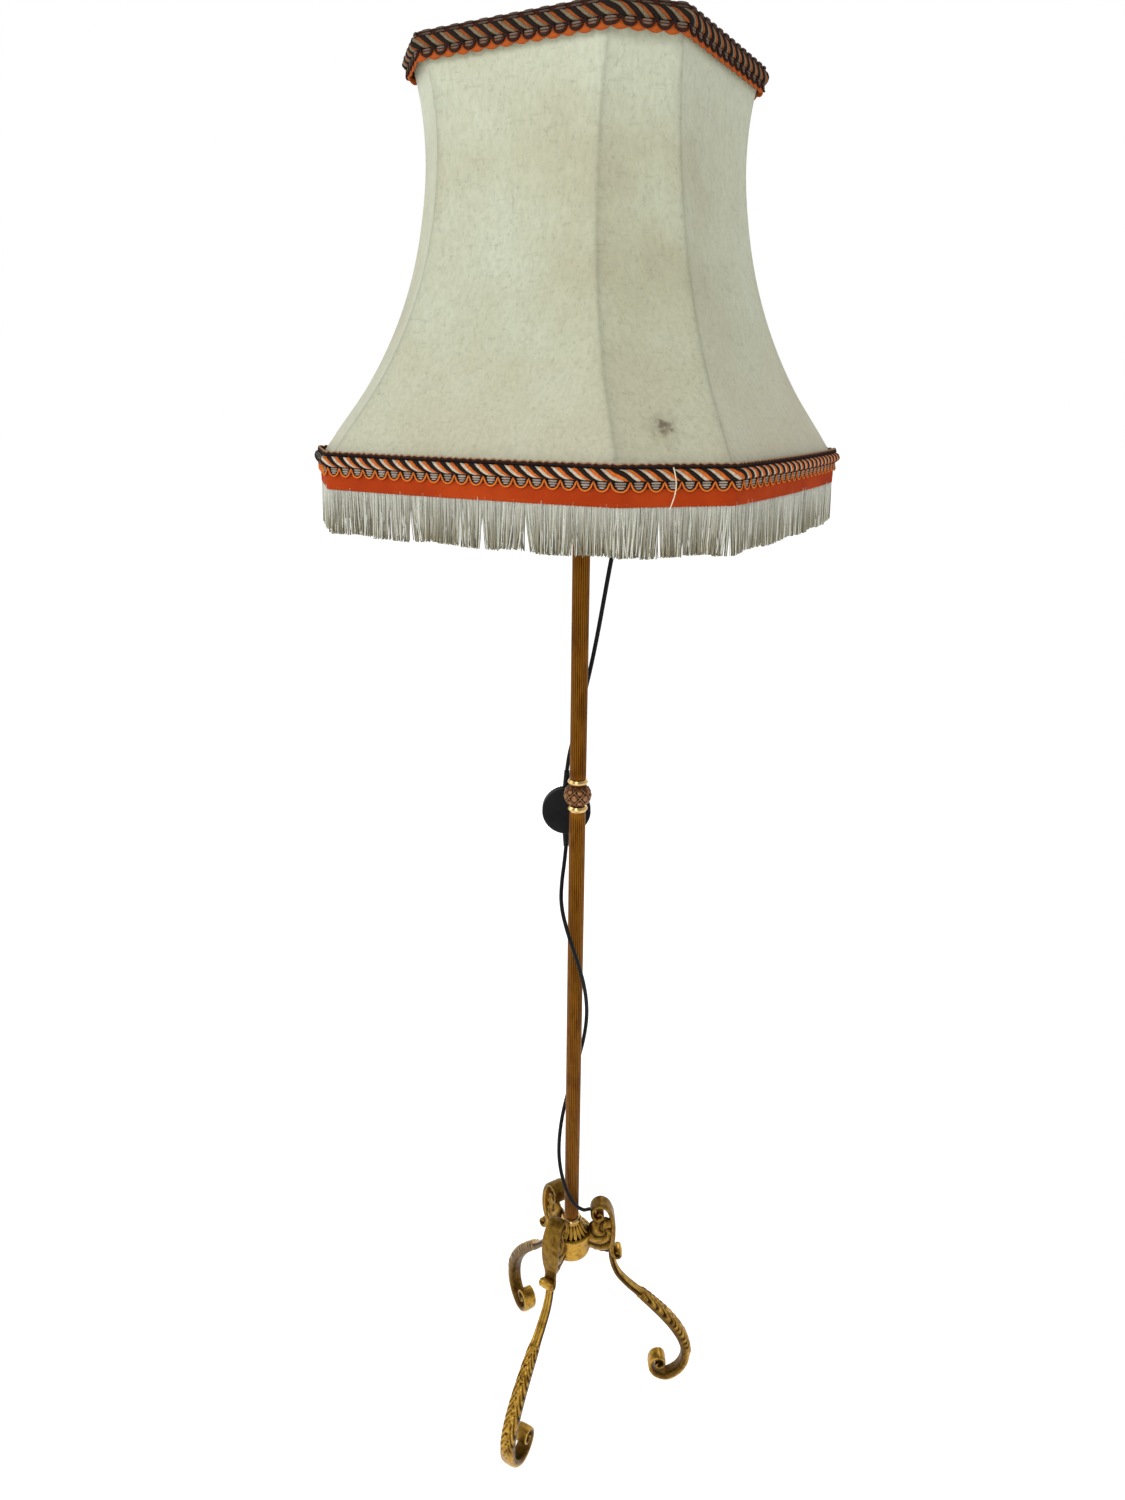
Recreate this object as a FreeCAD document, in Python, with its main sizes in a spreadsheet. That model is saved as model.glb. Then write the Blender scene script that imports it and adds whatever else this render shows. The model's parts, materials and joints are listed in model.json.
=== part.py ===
import FreeCAD, Part
import Sketcher
import math
import os

# A standing lamp: three cast scroll legs, a reeded pole in two lengths with a knop between them,
# a lampholder with its bulb, a bell-shaped shade with eight sides, and a free cord with a foot switch.
# Millimetres, +Z up. The origin is on the floor, on the pole's axis. One leg points towards -Y,
# and the shade's four wide sides face -Y, +X, +Y and -X.

V = FreeCAD.Vector
X_AXIS, Y_AXIS, Z_AXIS = V(1, 0, 0), V(0, 1, 0), V(0, 0, 1)
doc = FreeCAD.newDocument("floor_lamp")

# ---------------------------------------------------------------- driving dimensions

SIZES = {
    # hub, from the bottom up
    "hub_bottom": 245, "drum_height": 33, "drum_radius": 27, "drum_wall": 4, "drum_round": 6,
    "shoulder_height": 23, "shoulder_radius": 28, "collar_radius": 14, "collar_height": 5,
    # pole
    "pole_radius": 10, "pole_wall": 1.5, "lower_pole_length": 618, "upper_pole_length": 506,
    "knop_radius": 16.2, "knop_height": 27, "bead_radius": 12.2, "bead_height": 7,
    "rod_radius": 5, "rod_bore": 3.5, "rod_clearance": 0.25, "cap_height": 6, "cap_radius": 12,
    # legs
    "foot_reach": 147, "curl_radius": 26, "leg_depth": 14, "leg_width": 18, "bar_bevel": 4, "strap_width": 20,
    "strap_depth": 5, "strap_reach": 57, "scroll_radius": 14, "scroll_height": 318,
    "web_width": 9, "screw_radius": 3, "screw_length": 26, "screw_rise": 16, "screw_seat": 0.6,
    "bud_radius": 9,
    # lampholder and bulb
    "holder_radius": 20, "holder_wall": 2, "holder_cap_height": 26, "holder_shell_height": 43,
    "insert_radius": 17.5, "thread_radius": 13.2, "bulb_radius": 30, "bulb_height": 82,
    # shade
    "shade_bottom": 1335, "shade_top": 1699, "bottom_half": 228.5, "bottom_cut": 73.6,
    "top_cut": 44.2, "panel_thickness": 1, "braid_height": 25, "braid_overhang": 15,
    "braid_thickness": 5, "ribbon_height": 10.8, "fringe_length": 54, "wire_radius": 2,
    "wire_inset": 4.2, "rib_radius": 1.5, "rib_inset": 4.9, "fitter_height": 1511.3,
    "fitter_radius": 27, "fitter_thickness": 2, "turn_gap": 0.3,
    # cord, foot switch and plug
    "cord_radius": 2.5, "switch_radius": 30, "switch_base_depth": 7, "switch_dome_depth": 14,
    "button_radius": 10, "switch_height": 914, "relief_length": 20, "plug_length": 35, "plug_sleeve": 20,
    "pin_radius": 2, "pin_length": 19, "pin_spacing": 19, "coil_inner": 20, "coil_outer": 35,
    "coil_height": 9.4,
}
sheet = doc.addObject("Spreadsheet::Sheet", "Sizes")
for row, (alias, number) in enumerate(SIZES.items(), start=1):
    sheet.set(f"A{row}", alias)
    sheet.set(f"B{row}", str(number))
    sheet.setAlias(f"B{row}", alias)
doc.recompute()


class Size:
    """A length that knows its number and the sheet expression that gives it."""

    def __init__(self, number, text):
        self.number = number
        self.text = text

    def __add__(self, other):
        other = as_size(other)
        return Size(self.number + other.number, f"({self.text} + {other.text})")

    def __sub__(self, other):
        other = as_size(other)
        return Size(self.number - other.number, f"({self.text} - {other.text})")

    def __mul__(self, other):
        other = as_size(other)
        return Size(self.number * other.number, f"({self.text} * {other.text})")

    __radd__ = __add__
    __rmul__ = __mul__

    def __rsub__(self, other):
        return as_size(other) - self

    def __neg__(self):
        return Size(-self.number, f"(0 - {self.text})")


def as_size(value):
    return value if isinstance(value, Size) else Size(float(value), f"{float(value):.6g}")


def cell(alias):
    return Size(float(sheet.get(alias)), f"Sizes.{alias}")


def num(value):
    return as_size(value).number


def bind(thing, prop, value):
    """Ties a property to the sheet where the value comes from it, and sets it otherwise."""
    if isinstance(value, Size):
        thing.setExpression(prop, value.text)
    else:
        setattr(thing, prop, value)


parts = {}


def keep(node, thing):
    """Files an object as the sub-part of that name."""
    thing.Label = node
    parts[node] = thing
    return thing


# ---------------------------------------------------------------- Part primitives and booleans

def place(thing, at):
    thing.Placement = FreeCAD.Placement(V(*[num(value) for value in at]), thing.Placement.Rotation)
    for axis, value in zip("xyz", at):
        if isinstance(value, Size):
            thing.setExpression(f"Placement.Base.{axis}", value.text)
    return thing


def cylinder(name, radius, height, at=(0, 0, 0)):
    thing = doc.addObject("Part::Cylinder", name)
    bind(thing, "Radius", radius)
    bind(thing, "Height", height)
    return place(thing, at)


def cone(name, low_radius, high_radius, height, at=(0, 0, 0)):
    thing = doc.addObject("Part::Cone", name)
    bind(thing, "Radius1", low_radius)
    bind(thing, "Radius2", high_radius)
    bind(thing, "Height", height)
    return place(thing, at)


def block(name, size, at):
    thing = doc.addObject("Part::Box", name)
    for prop, value in zip(("Length", "Width", "Height"), size):
        bind(thing, prop, value)
    return place(thing, at)


def cut(name, base, tool):
    thing = doc.addObject("Part::Cut", name)
    thing.Base = base
    thing.Tool = tool
    return thing


def fuse(name, shapes):
    thing = doc.addObject("Part::MultiFuse", name)
    thing.Shapes = shapes
    return thing


def group(name, shapes):
    """Several separate solids as one sub-part."""
    thing = doc.addObject("Part::Compound", name)
    thing.Links = shapes
    return thing


def tube(name, outer, inner, height, at=(0, 0, 0)):
    """A straight tube, open at both ends."""
    return cut(name, cylinder(name + "_outside", outer, height, at),
               cylinder(name + "_bore", inner, height, at))


# ---------------------------------------------------------------- PartDesign bodies

def new_body(name):
    return doc.addObject("PartDesign::Body", name)


def sketch_on(body, role, name, offset=None):
    sketch = body.newObject("Sketcher::SketchObject", name)
    plane = next(one for one in body.Origin.OriginFeatures if one.Role == role)
    sketch.AttachmentSupport = [(plane, "")]
    sketch.MapMode = "FlatFace"
    if offset is not None:
        sketch.AttachmentOffset = FreeCAD.Placement(V(0, 0, num(offset)), FreeCAD.Rotation())
        if isinstance(offset, Size):
            sketch.setExpression("AttachmentOffset.Base.z", offset.text)
    return sketch


def fix_point(sketch, edge, end, across, along):
    """Holds one end of a sketch edge at a place that the sheet gives."""
    for kind, value in (("DistanceX", across), ("DistanceY", along)):
        index = sketch.addConstraint(Sketcher.Constraint(kind, -1, 1, edge, end, num(value)))
        if isinstance(value, Size):
            sketch.setExpression(f"Constraints[{index}]", value.text)


def outline(sketch, points, closed=True):
    """Straight edges through the points, each corner held by its two distances from the origin."""
    flat = [V(num(across), num(along), 0) for across, along in points]
    ends = list(zip(flat, flat[1:] + flat[:1])) if closed else list(zip(flat, flat[1:]))
    for start, end in ends:
        sketch.addGeometry(Part.LineSegment(start, end), False)
    for edge, (across, along) in enumerate(points[:len(ends)]):
        fix_point(sketch, edge, 1, across, along)
    for edge in range(len(ends) - 1):
        sketch.addConstraint(Sketcher.Constraint("Coincident", edge, 2, edge + 1, 1))
    if closed:
        sketch.addConstraint(Sketcher.Constraint("Coincident", len(ends) - 1, 2, 0, 1))
    else:
        fix_point(sketch, len(ends) - 1, 2, *points[-1])


def circle(sketch, radius, across=0, along=0):
    edge = sketch.addGeometry(Part.Circle(V(num(across), num(along), 0), Z_AXIS, num(radius)), False)
    fix_point(sketch, edge, 3, across, along)
    index = sketch.addConstraint(Sketcher.Constraint("Radius", edge, num(radius)))
    if isinstance(radius, Size):
        sketch.setExpression(f"Constraints[{index}]", radius.text)


def revolve(name, points):
    """A body turned about the vertical axis from an outline of (radius, height) points."""
    body = new_body(name)
    sketch = sketch_on(body, "XZ_Plane", name + "_outline")
    outline(sketch, points)
    turn = body.newObject("PartDesign::Revolution", name + "_turn")
    turn.Profile = sketch
    turn.ReferenceAxis = (sketch, ["V_Axis"])
    turn.Angle = 360
    return body


def round_edges(body, name, radius, wanted):
    """Fillets the edges of a body's last feature that the test picks."""
    doc.recompute()
    rough = body.Tip
    edges = [f"Edge{i + 1}" for i, edge in enumerate(rough.Shape.Edges) if wanted(edge)]
    fillet = body.newObject("PartDesign::Fillet", name)
    fillet.Base = (rough, edges)
    bind(fillet, "Radius", radius)


def circle_at(height, radius):
    """Picks full circles of that radius at that height."""
    def test(edge):
        curve = edge.Curve
        return (isinstance(curve, Part.Circle) and abs(curve.Radius - radius) < 0.01
                and abs(edge.BoundBox.Center.z - height) < 0.01)
    return test


# ---------------------------------------------------------------- curved runs shared by wires and cords

def bent_wire(points):
    """Straight runs joined by tangent arcs, each as large as its two runs allow. Returns wire and radii."""
    points = [V(*point) for point in points]
    edges, radii, start = [], [], points[0]
    for before, corner, after in zip(points, points[1:], points[2:]):
        arriving = (corner - before).normalize()
        leaving = (after - corner).normalize()
        half_turn = arriving.getAngle(leaving) / 2
        reach = 0.45 * min(before.distanceToPoint(corner), corner.distanceToPoint(after))
        radii.append(reach / math.tan(half_turn))
        arc_start = corner - arriving * reach
        arc_end = corner + leaving * reach
        inward = (leaving - arriving).normalize()
        middle = corner + inward * (radii[-1] / math.cos(half_turn) - radii[-1])
        edges.append(Part.LineSegment(start, arc_start).toShape())
        edges.append(Part.Arc(arc_start, middle, arc_end).toShape())
        start = arc_end
    edges.append(Part.LineSegment(start, points[-1]).toShape())
    return Part.Wire(edges), radii


def rod_along(points, radius, name):
    """A round rod along a bent wire, with its volume held against section times length."""
    wire, radii = bent_wire(points)
    tangent = V(*points[1]) - V(*points[0])
    section = Part.Wire(Part.makeCircle(radius, V(*points[0]), tangent))
    solid = wire.makePipeShell([section], True, True)
    expected = math.pi * radius ** 2 * wire.Length
    if abs(solid.Volume - expected) > 0.02 * expected:
        raise ValueError(f"{name}: volume {solid.Volume:.0f}, expected {expected:.0f}")
    return solid, wire.Length, radii


def feature(node, shape, placement=None):
    """A sub-part whose shape is worked out here from the sheet's sizes."""
    thing = doc.addObject("Part::Feature", node + "_solid")
    thing.Shape = shape
    if placement is not None:
        thing.Placement = placement
    return keep(node, thing)


# ---------------------------------------------------------------- hub

drum_top = cell("hub_bottom") + cell("drum_height")
screw_height = cell("hub_bottom") + cell("screw_rise")
shoulder_top = drum_top + cell("shoulder_height")
collar_top = shoulder_top + cell("collar_height")
bore = cell("rod_radius") + cell("rod_clearance")

# the drum is a cup, open at the top, that the legs are screwed to from inside
drum = revolve("hub_drum", [
    (bore, cell("hub_bottom")), (cell("drum_radius"), cell("hub_bottom")),
    (cell("drum_radius"), drum_top), (cell("drum_radius") - cell("drum_wall"), drum_top),
    (cell("drum_radius") - cell("drum_wall"), cell("hub_bottom") + cell("drum_wall")),
    (bore, cell("hub_bottom") + cell("drum_wall")),
])
round_edges(drum, "drum_round_edge", cell("drum_round"),
            circle_at(num(cell("hub_bottom")), num(cell("drum_radius"))))
drum_holes = sketch_on(drum, "YZ_Plane", "drum_screw_hole_circle")
circle(drum_holes, cell("screw_radius") + 0.2, 0, screw_height)
drum_pocket = drum.newObject("PartDesign::Pocket", "drum_screw_hole")
drum_pocket.Profile = drum_holes
bind(drum_pocket, "Length", cell("drum_radius") + 5)
drum_pocket.Reversed = True
doc.recompute()
drum_pattern = drum.newObject("PartDesign::PolarPattern", "drum_screw_holes")
drum_pattern.Originals = [drum_pocket]
drum_pattern.Axis = (drum_holes, ["V_Axis"])
drum_pattern.Angle = 360
drum_pattern.Occurrences = 3
drum.Tip = drum_pattern
drum.Placement = FreeCAD.Placement(V(0, 0, 0), FreeCAD.Rotation(Z_AXIS, -90))
keep("hub_drum", drum)

shoulder = revolve("hub_shoulder", [
    (bore, drum_top), (cell("shoulder_radius"), drum_top),
    (cell("shoulder_radius"), drum_top + 4), (cell("shoulder_radius") - 3, drum_top + 6),
    (cell("shoulder_radius") - 9, drum_top + 13), (cell("collar_radius") - 1.5, shoulder_top - 3),
    (cell("collar_radius") - 1.5, shoulder_top), (bore, shoulder_top),
])
keep("hub_shoulder", shoulder)

collar = revolve("hub_collar", [
    (bore, shoulder_top), (cell("collar_radius") - 1.2, shoulder_top),
    (cell("collar_radius"), shoulder_top + 1.5), (cell("collar_radius"), shoulder_top + 3.5),
    (cell("collar_radius") - 1.2, collar_top), (bore, collar_top),
])
keep("hub_collar", collar)

WASHER_THICK, NUT_THICK = 1.5, 7
keep("base_washer", tube("base_washer", 11, bore, WASHER_THICK, (0, 0, cell("hub_bottom") - WASHER_THICK)))

nut_blank = doc.addObject("Part::Prism", "nut_blank")
nut_blank.Polygon = 6
nut_blank.Circumradius = 9.8
nut_blank.Height = NUT_THICK
nut_low = cell("hub_bottom") - WASHER_THICK - NUT_THICK
place(nut_blank, (0, 0, nut_low))
nut_bore = cylinder("nut_bore", cell("rod_radius") + 0.02, NUT_THICK, (0, 0, nut_low))
keep("base_nut", cut("base_nut", nut_blank, nut_bore))

# ---------------------------------------------------------------- pole

knop_ring_low = collar_top + cell("lower_pole_length")
knop_low = knop_ring_low + cell("bead_height")
knop_top = knop_low + cell("knop_height")
upper_low = knop_top + cell("bead_height")
upper_top = upper_low + cell("upper_pole_length")
cap_top = upper_top + cell("cap_height")
pole_bore = cell("pole_radius") - cell("pole_wall")

keep("tie_rod", tube("tie_rod", cell("rod_radius"), cell("rod_bore"),
                     cap_top - cell("hub_bottom") + 22, (0, 0, cell("hub_bottom") - 12)))
keep("lower_pole", tube("lower_pole", cell("pole_radius"), pole_bore,
                        cell("lower_pole_length"), (0, 0, collar_top)))
keep("upper_pole", tube("upper_pole", cell("pole_radius"), pole_bore,
                        cell("upper_pole_length"), (0, 0, upper_low)))


def bead_ring(node, low):
    keep(node, revolve(node, [
        (bore, low), (cell("bead_radius") - 1.6, low), (cell("bead_radius"), low + 2),
        (cell("bead_radius"), low + 5), (cell("bead_radius") - 1.6, low + 7), (bore, low + 7),
    ]))


bead_ring("knop_ring_lower", knop_ring_low)
bead_ring("knop_ring_upper", knop_top)

keep("knop", revolve("knop", [
    (bore, knop_low), (9, knop_low), (13.4, knop_low + 4.5), (cell("knop_radius"), knop_low + 10.5),
    (cell("knop_radius"), knop_low + 16.5), (13.4, knop_low + 22.5), (9, knop_top), (bore, knop_top),
]))
keep("pole_cap", revolve("pole_cap", [
    (bore, upper_top), (cell("cap_radius"), upper_top), (cell("cap_radius"), upper_top + 3),
    (cell("cap_radius") - 3, cap_top), (bore, cap_top),
]))

# ---------------------------------------------------------------- legs

# In a leg's own frame the leg stands in the XZ plane and reaches out along +X.
# A bar hangs from the strap, sweeps out to the knee and ends in a curl that stands on the floor;
# the strap rises from the bar's root and rolls over into a scroll; a web joins both to the drum.
knee = cell("foot_reach") + cell("curl_radius")
curl_height = cell("curl_radius") + cell("leg_depth") * 0.5
LEG_FOOT_FLAT = 0.35   # how much is taken off under the foot, so that it stands flat
BAR_ROOT, STRAP_ROOT = 250, 236   # the heights where the bar's and the strap's sections are drawn


def join_ends(sketch, edge, following):
    """Ties two neighbouring edges of a path together where their ends meet."""
    for end in (1, 2):
        for start in (1, 2):
            if sketch.getPoint(edge, end).distanceToPoint(sketch.getPoint(following, start)) < 0.001:
                sketch.addConstraint(Sketcher.Constraint("Coincident", edge, end, following, start))
                return
    raise ValueError(f"{sketch.Name}: edges {edge} and {following} do not meet")


def open_path(sketch, runs):
    """A path of lines (two points) and arcs (three points); every joint is held by the sheet."""
    for run in runs:
        points = [V(num(across), num(along), 0) for across, along in run]
        shape = Part.LineSegment(*points) if len(points) == 2 else Part.Arc(*points)
        sketch.addGeometry(shape, False)
    for edge in range(len(runs) - 1):
        join_ends(sketch, edge, edge + 1)
    for edge, run in enumerate(runs):
        across, along = run[-1]
        here = V(num(across), num(along), 0)
        end = 2 if sketch.getPoint(edge, 2).distanceToPoint(here) < 0.001 else 1
        fix_point(sketch, edge, end, across, along)
    fix_point(sketch, 0, 1, *runs[0][0])


def leg_path(sketch):
    """The bar's centreline: down, a swing outwards, the knee, and three quarters of the foot's curl."""
    root, reach, radius = cell("strap_reach"), cell("foot_reach"), cell("curl_radius")
    slant = math.sin(math.pi / 4)
    open_path(sketch, [
        [(root, BAR_ROOT), (root, 232)],
        [(root, 232), (63, 207.5), (77, 187.5)],
        [(77, 187.5), (139, 123)],
        [(139, 123), (160.5, 93), (knee, curl_height + 24)],
        [(knee, curl_height + 24), (knee, curl_height)],
        [(knee, curl_height), (reach + radius * slant, curl_height - radius * slant),
         (reach, curl_height - radius)],
        [(reach, curl_height - radius), (reach - radius * slant, curl_height - radius * slant),
         (reach - radius, curl_height)],
    ])


def strap_path(sketch):
    """The strap's centreline: up the outside, over the top, and a tighter turn back under itself."""
    reach, radius, high = cell("strap_reach"), cell("scroll_radius"), cell("scroll_height")
    inner = reach - radius * 2
    open_path(sketch, [
        [(reach, STRAP_ROOT), (reach, high)],
        [(reach, high), (reach - radius, high + radius), (inner, high)],
        [(inner, high), (inner + radius * 0.5, high - radius * 0.5), (inner + radius, high)],
    ])


def sweep(body, name, section, path):
    pipe = body.newObject("PartDesign::AdditivePipe", name)
    pipe.Profile = section
    pipe.Spine = (path, [])
    return pipe


def pad(body, name, sketch, length, both_ways=True):
    thing = body.newObject("PartDesign::Pad", name)
    thing.Profile = sketch
    bind(thing, "Length", length)
    thing.Midplane = both_ways
    return thing


def make_leg(node, azimuth):
    body = new_body(node)
    path = sketch_on(body, "XZ_Plane", node + "_bar_path")
    leg_path(path)
    section = sketch_on(body, "XY_Plane", node + "_bar_section", BAR_ROOT)
    half_depth, half_width = cell("leg_depth") * 0.5, cell("leg_width") * 0.5
    middle, bevel = cell("strap_reach"), cell("bar_bevel")
    outline(section, [
        (middle - half_depth, bevel - half_width), (middle - half_depth + bevel, -half_width),
        (middle + half_depth - bevel, -half_width), (middle + half_depth, bevel - half_width),
        (middle + half_depth, half_width - bevel), (middle + half_depth - bevel, half_width),
        (middle - half_depth + bevel, half_width), (middle - half_depth, half_width - bevel),
    ])
    sweep(body, node + "_bar", section, path)
    doc.recompute()

    strap_line = sketch_on(body, "XZ_Plane", node + "_strap_path")
    strap_path(strap_line)
    strap_section = sketch_on(body, "XY_Plane", node + "_strap_section", STRAP_ROOT)
    half_strap, half_thick = cell("strap_width") * 0.5, cell("strap_depth") * 0.5
    outline(strap_section, [
        (middle - half_thick, -half_strap), (middle + half_thick, -half_strap),
        (middle + half_thick, half_strap), (middle - half_thick, half_strap),
    ])
    sweep(body, node + "_strap", strap_section, strap_line)
    doc.recompute()

    # the web, the bud below the strap and the roll that fills the end of the foot's curl
    web = sketch_on(body, "XZ_Plane", node + "_web_outline")
    outline(web, [
        (cell("drum_radius") - 3, cell("hub_bottom") - 2), (44, cell("hub_bottom") - 9),
        (middle, 232), (middle, 300), (50, 292), (42, 276), (cell("drum_radius") - 3, drum_top - 5),
    ])
    pad(body, node + "_web", web, cell("web_width"))
    bud = sketch_on(body, "XZ_Plane", node + "_bud_outline")
    outline(bud, [(middle, 262), (middle + 4, 258), (middle + 10, 250), (middle + 9, 240),
                  (middle + 3, 228), (middle, 232)])
    pad(body, node + "_bud", bud, cell("bud_radius") * 2)
    roll = sketch_on(body, "XZ_Plane", node + "_roll_circle")
    circle(roll, 10, cell("foot_reach") - cell("curl_radius") + 5.5, curl_height + 4)
    pad(body, node + "_roll", roll, cell("strap_width"))

    # the drum's round side, a flat under the foot, and the screw's blind hole
    drum_side = sketch_on(body, "XY_Plane", node + "_drum_side", cell("hub_bottom") - 12)
    circle(drum_side, cell("drum_radius") + 0.05)
    fit = body.newObject("PartDesign::Pocket", node + "_drum_fit")
    fit.Profile = drum_side
    fit.Length = 80
    fit.Reversed = True
    foot = sketch_on(body, "XY_Plane", node + "_foot_flat", LEG_FOOT_FLAT)
    outline(foot, [(110, -15), (190, -15), (190, 15), (110, 15)])
    trim = body.newObject("PartDesign::Pocket", node + "_foot_trim")
    trim.Profile = foot
    trim.Length = 5
    trim.Reversed = False
    hole = sketch_on(body, "YZ_Plane", node + "_screw_circle", 20)
    circle(hole, cell("screw_radius"), 0, screw_height + LEG_FOOT_FLAT)
    drill = body.newObject("PartDesign::Pocket", node + "_screw_hole")
    drill.Profile = hole
    drill.Length = 29
    drill.Reversed = True
    doc.recompute()
    body.Placement = FreeCAD.Placement(V(0, 0, -LEG_FOOT_FLAT), FreeCAD.Rotation(Z_AXIS, azimuth))
    return keep(node, body)


LEG_AZIMUTHS = {"front_leg": -90, "right_leg": 30, "left_leg": 150}
for leg_node, leg_azimuth in LEG_AZIMUTHS.items():
    make_leg(leg_node, leg_azimuth)

# each screw's flat head sits a little inside the drum's round wall
seat = cell("drum_radius") - cell("drum_wall") - cell("screw_seat")
leg_screws = []
for index, leg_azimuth in enumerate(LEG_AZIMUTHS.values()):
    head = cylinder(f"leg_screw_head_{index}", 5, 3, (0, 0, seat - 3))
    shank = cylinder(f"leg_screw_shank_{index}", cell("screw_radius"), cell("screw_length"), (0, 0, seat))
    screw = fuse(f"leg_screw_{index}", [head, shank])
    outward = FreeCAD.Rotation(Z_AXIS, leg_azimuth).multiply(FreeCAD.Rotation(Y_AXIS, 90))
    screw.Placement = FreeCAD.Placement(V(0, 0, num(screw_height)), outward)
    leg_screws.append(screw)
keep("leg_screws", group("leg_screws", leg_screws))

# ---------------------------------------------------------------- lampholder

LEAD_ANGLE = 28.5   # the side of the lamp where the cord leaves the holder
holder_low = cap_top
holder_joint = holder_low + cell("holder_cap_height")
insert_low = holder_low + 14
GRIP_RADIUS, GRIP_RISE = 4.4, 13   # the cord grip's tube, and its height on the cap
shell_radius, wall = cell("holder_radius"), cell("holder_wall")

holder_cap = revolve("holder_cap", [
    (bore, holder_low), (12, holder_low), (shell_radius - 3, holder_low + 4),
    (shell_radius, holder_low + 9), (shell_radius, holder_joint), (shell_radius - wall, holder_joint),
    (shell_radius - wall, holder_low + 10), (shell_radius - 5, holder_low + 6.5),
    (12, holder_low + 3.5), (bore, holder_low + 3.5),
])
grip_hole = sketch_on(holder_cap, "YZ_Plane", "grip_hole_circle")
circle(grip_hole, GRIP_RADIUS + 0.1, 0, holder_low + GRIP_RISE)
grip_pocket = holder_cap.newObject("PartDesign::Pocket", "grip_hole")
grip_pocket.Profile = grip_hole
bind(grip_pocket, "Length", shell_radius + 5)
grip_pocket.Reversed = True
holder_cap.Placement = FreeCAD.Placement(V(0, 0, 0), FreeCAD.Rotation(Z_AXIS, LEAD_ANGLE))
keep("holder_cap", holder_cap)

# the cord grip screws into the cap's side; the cord's sheath ends at its mouth and the cores go on inside
core_bore = cell("cord_radius") - 1
grip = tube("cord_grip_tube", GRIP_RADIUS, core_bore, 16, (0, 0, shell_radius - 3))
grip_nut = tube("cord_grip_nut", 6.5, GRIP_RADIUS, 7, (0, 0, shell_radius + 0.2))
grip_all = fuse("cord_grip_body", [grip, grip_nut])
grip_turn = FreeCAD.Rotation(Z_AXIS, LEAD_ANGLE).multiply(FreeCAD.Rotation(Y_AXIS, 90))
grip_all.Placement = FreeCAD.Placement(V(0, 0, num(holder_low) + GRIP_RISE), grip_turn)
keep("cord_grip", grip_all)

flange_low = cell("fitter_height") - cell("turn_gap") - 2.5
keep("holder_shell", revolve("holder_shell", [
    (shell_radius - wall, holder_joint), (shell_radius, holder_joint), (shell_radius, flange_low),
    (shell_radius + 4, flange_low), (shell_radius + 4, flange_low + 2.5),
    (shell_radius, flange_low + 2.5), (shell_radius, holder_joint + cell("holder_shell_height")),
    (shell_radius - wall, holder_joint + cell("holder_shell_height")),
]))
keep("holder_insert", cut("holder_insert",
                          cylinder("insert_disc", cell("insert_radius"), 16, (0, 0, insert_low + 4)),
                          cylinder("insert_recess", 3, 12, (0, 0, insert_low))))
contact_low = insert_low + 20
keep("centre_contact", cylinder("centre_contact", 4, 1.2, (0, 0, contact_low)))
keep("screw_shell", tube("screw_shell", cell("thread_radius") + 1.1, cell("thread_radius") + 0.3,
                         30, (0, 0, contact_low)))
keep("terminal_screws", group("terminal_screws", [
    cylinder(f"terminal_screw_{side}", 2.2, 3.5, (side * 9, 0, insert_low + 0.5)) for side in (-1, 1)]))

# ---------------------------------------------------------------- bulb

bulb_contact_low = contact_low + 1.2
bulb_cap_low = bulb_contact_low + 4
glass_low = bulb_cap_low + 24
keep("bulb_contact", cylinder("bulb_contact", 4, 1, (0, 0, bulb_contact_low)))
keep("bulb_insulator", cone("bulb_insulator", 5, 11, 3, (0, 0, bulb_contact_low + 1)))
keep("bulb_cap", cut("bulb_cap",
                     cylinder("bulb_cap_outside", cell("thread_radius"), 26, (0, 0, bulb_cap_low)),
                     cylinder("bulb_cap_inside", cell("thread_radius") - 0.6, 25, (0, 0, bulb_cap_low + 1))))

GLASS_WALL = 0.8
bulb_middle = num(glass_low + cell("bulb_height") - cell("bulb_radius"))


def bulb_profile(inset):
    """Half of the pear shape, from the neck round to the top: a line, a curve, an arc and the axis."""
    neck = num(cell("thread_radius")) - 1 - inset
    radius = num(cell("bulb_radius")) - inset
    low, middle = num(glass_low) + inset, bulb_middle
    shoulder = V(radius * math.cos(math.radians(20)), 0, middle - radius * math.sin(math.radians(20)))
    edges = [
        Part.LineSegment(V(0, 0, low), V(neck, 0, low)).toShape(),
        Part.LineSegment(V(neck, 0, low), V(neck + 0.5, 0, low + 12)).toShape(),
        Part.BezierCurve(),
    ]
    edges[2].setPoles([V(neck + 0.5, 0, low + 12), V(neck + 2.5, 0, low + 22),
                       V(radius - 5.5, 0, middle - radius * 0.34 - 8), shoulder])
    edges[2] = edges[2].toShape()
    edges.append(Part.Arc(shoulder, V(radius * math.cos(math.radians(40)), 0,
                                      middle + radius * math.sin(math.radians(40))),
                          V(0, 0, middle + radius)).toShape())
    edges.append(Part.LineSegment(V(0, 0, middle + radius), V(0, 0, low)).toShape())
    return Part.Face(Part.Wire(edges)).revolve(V(0, 0, 0), Z_AXIS, 360)


feature("bulb_glass", bulb_profile(0).cut(bulb_profile(GLASS_WALL)))
stem_low = glass_low + 1
keep("glass_stem", cone("glass_stem", 8, 2.5, 26, (0, 0, stem_low)))


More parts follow.
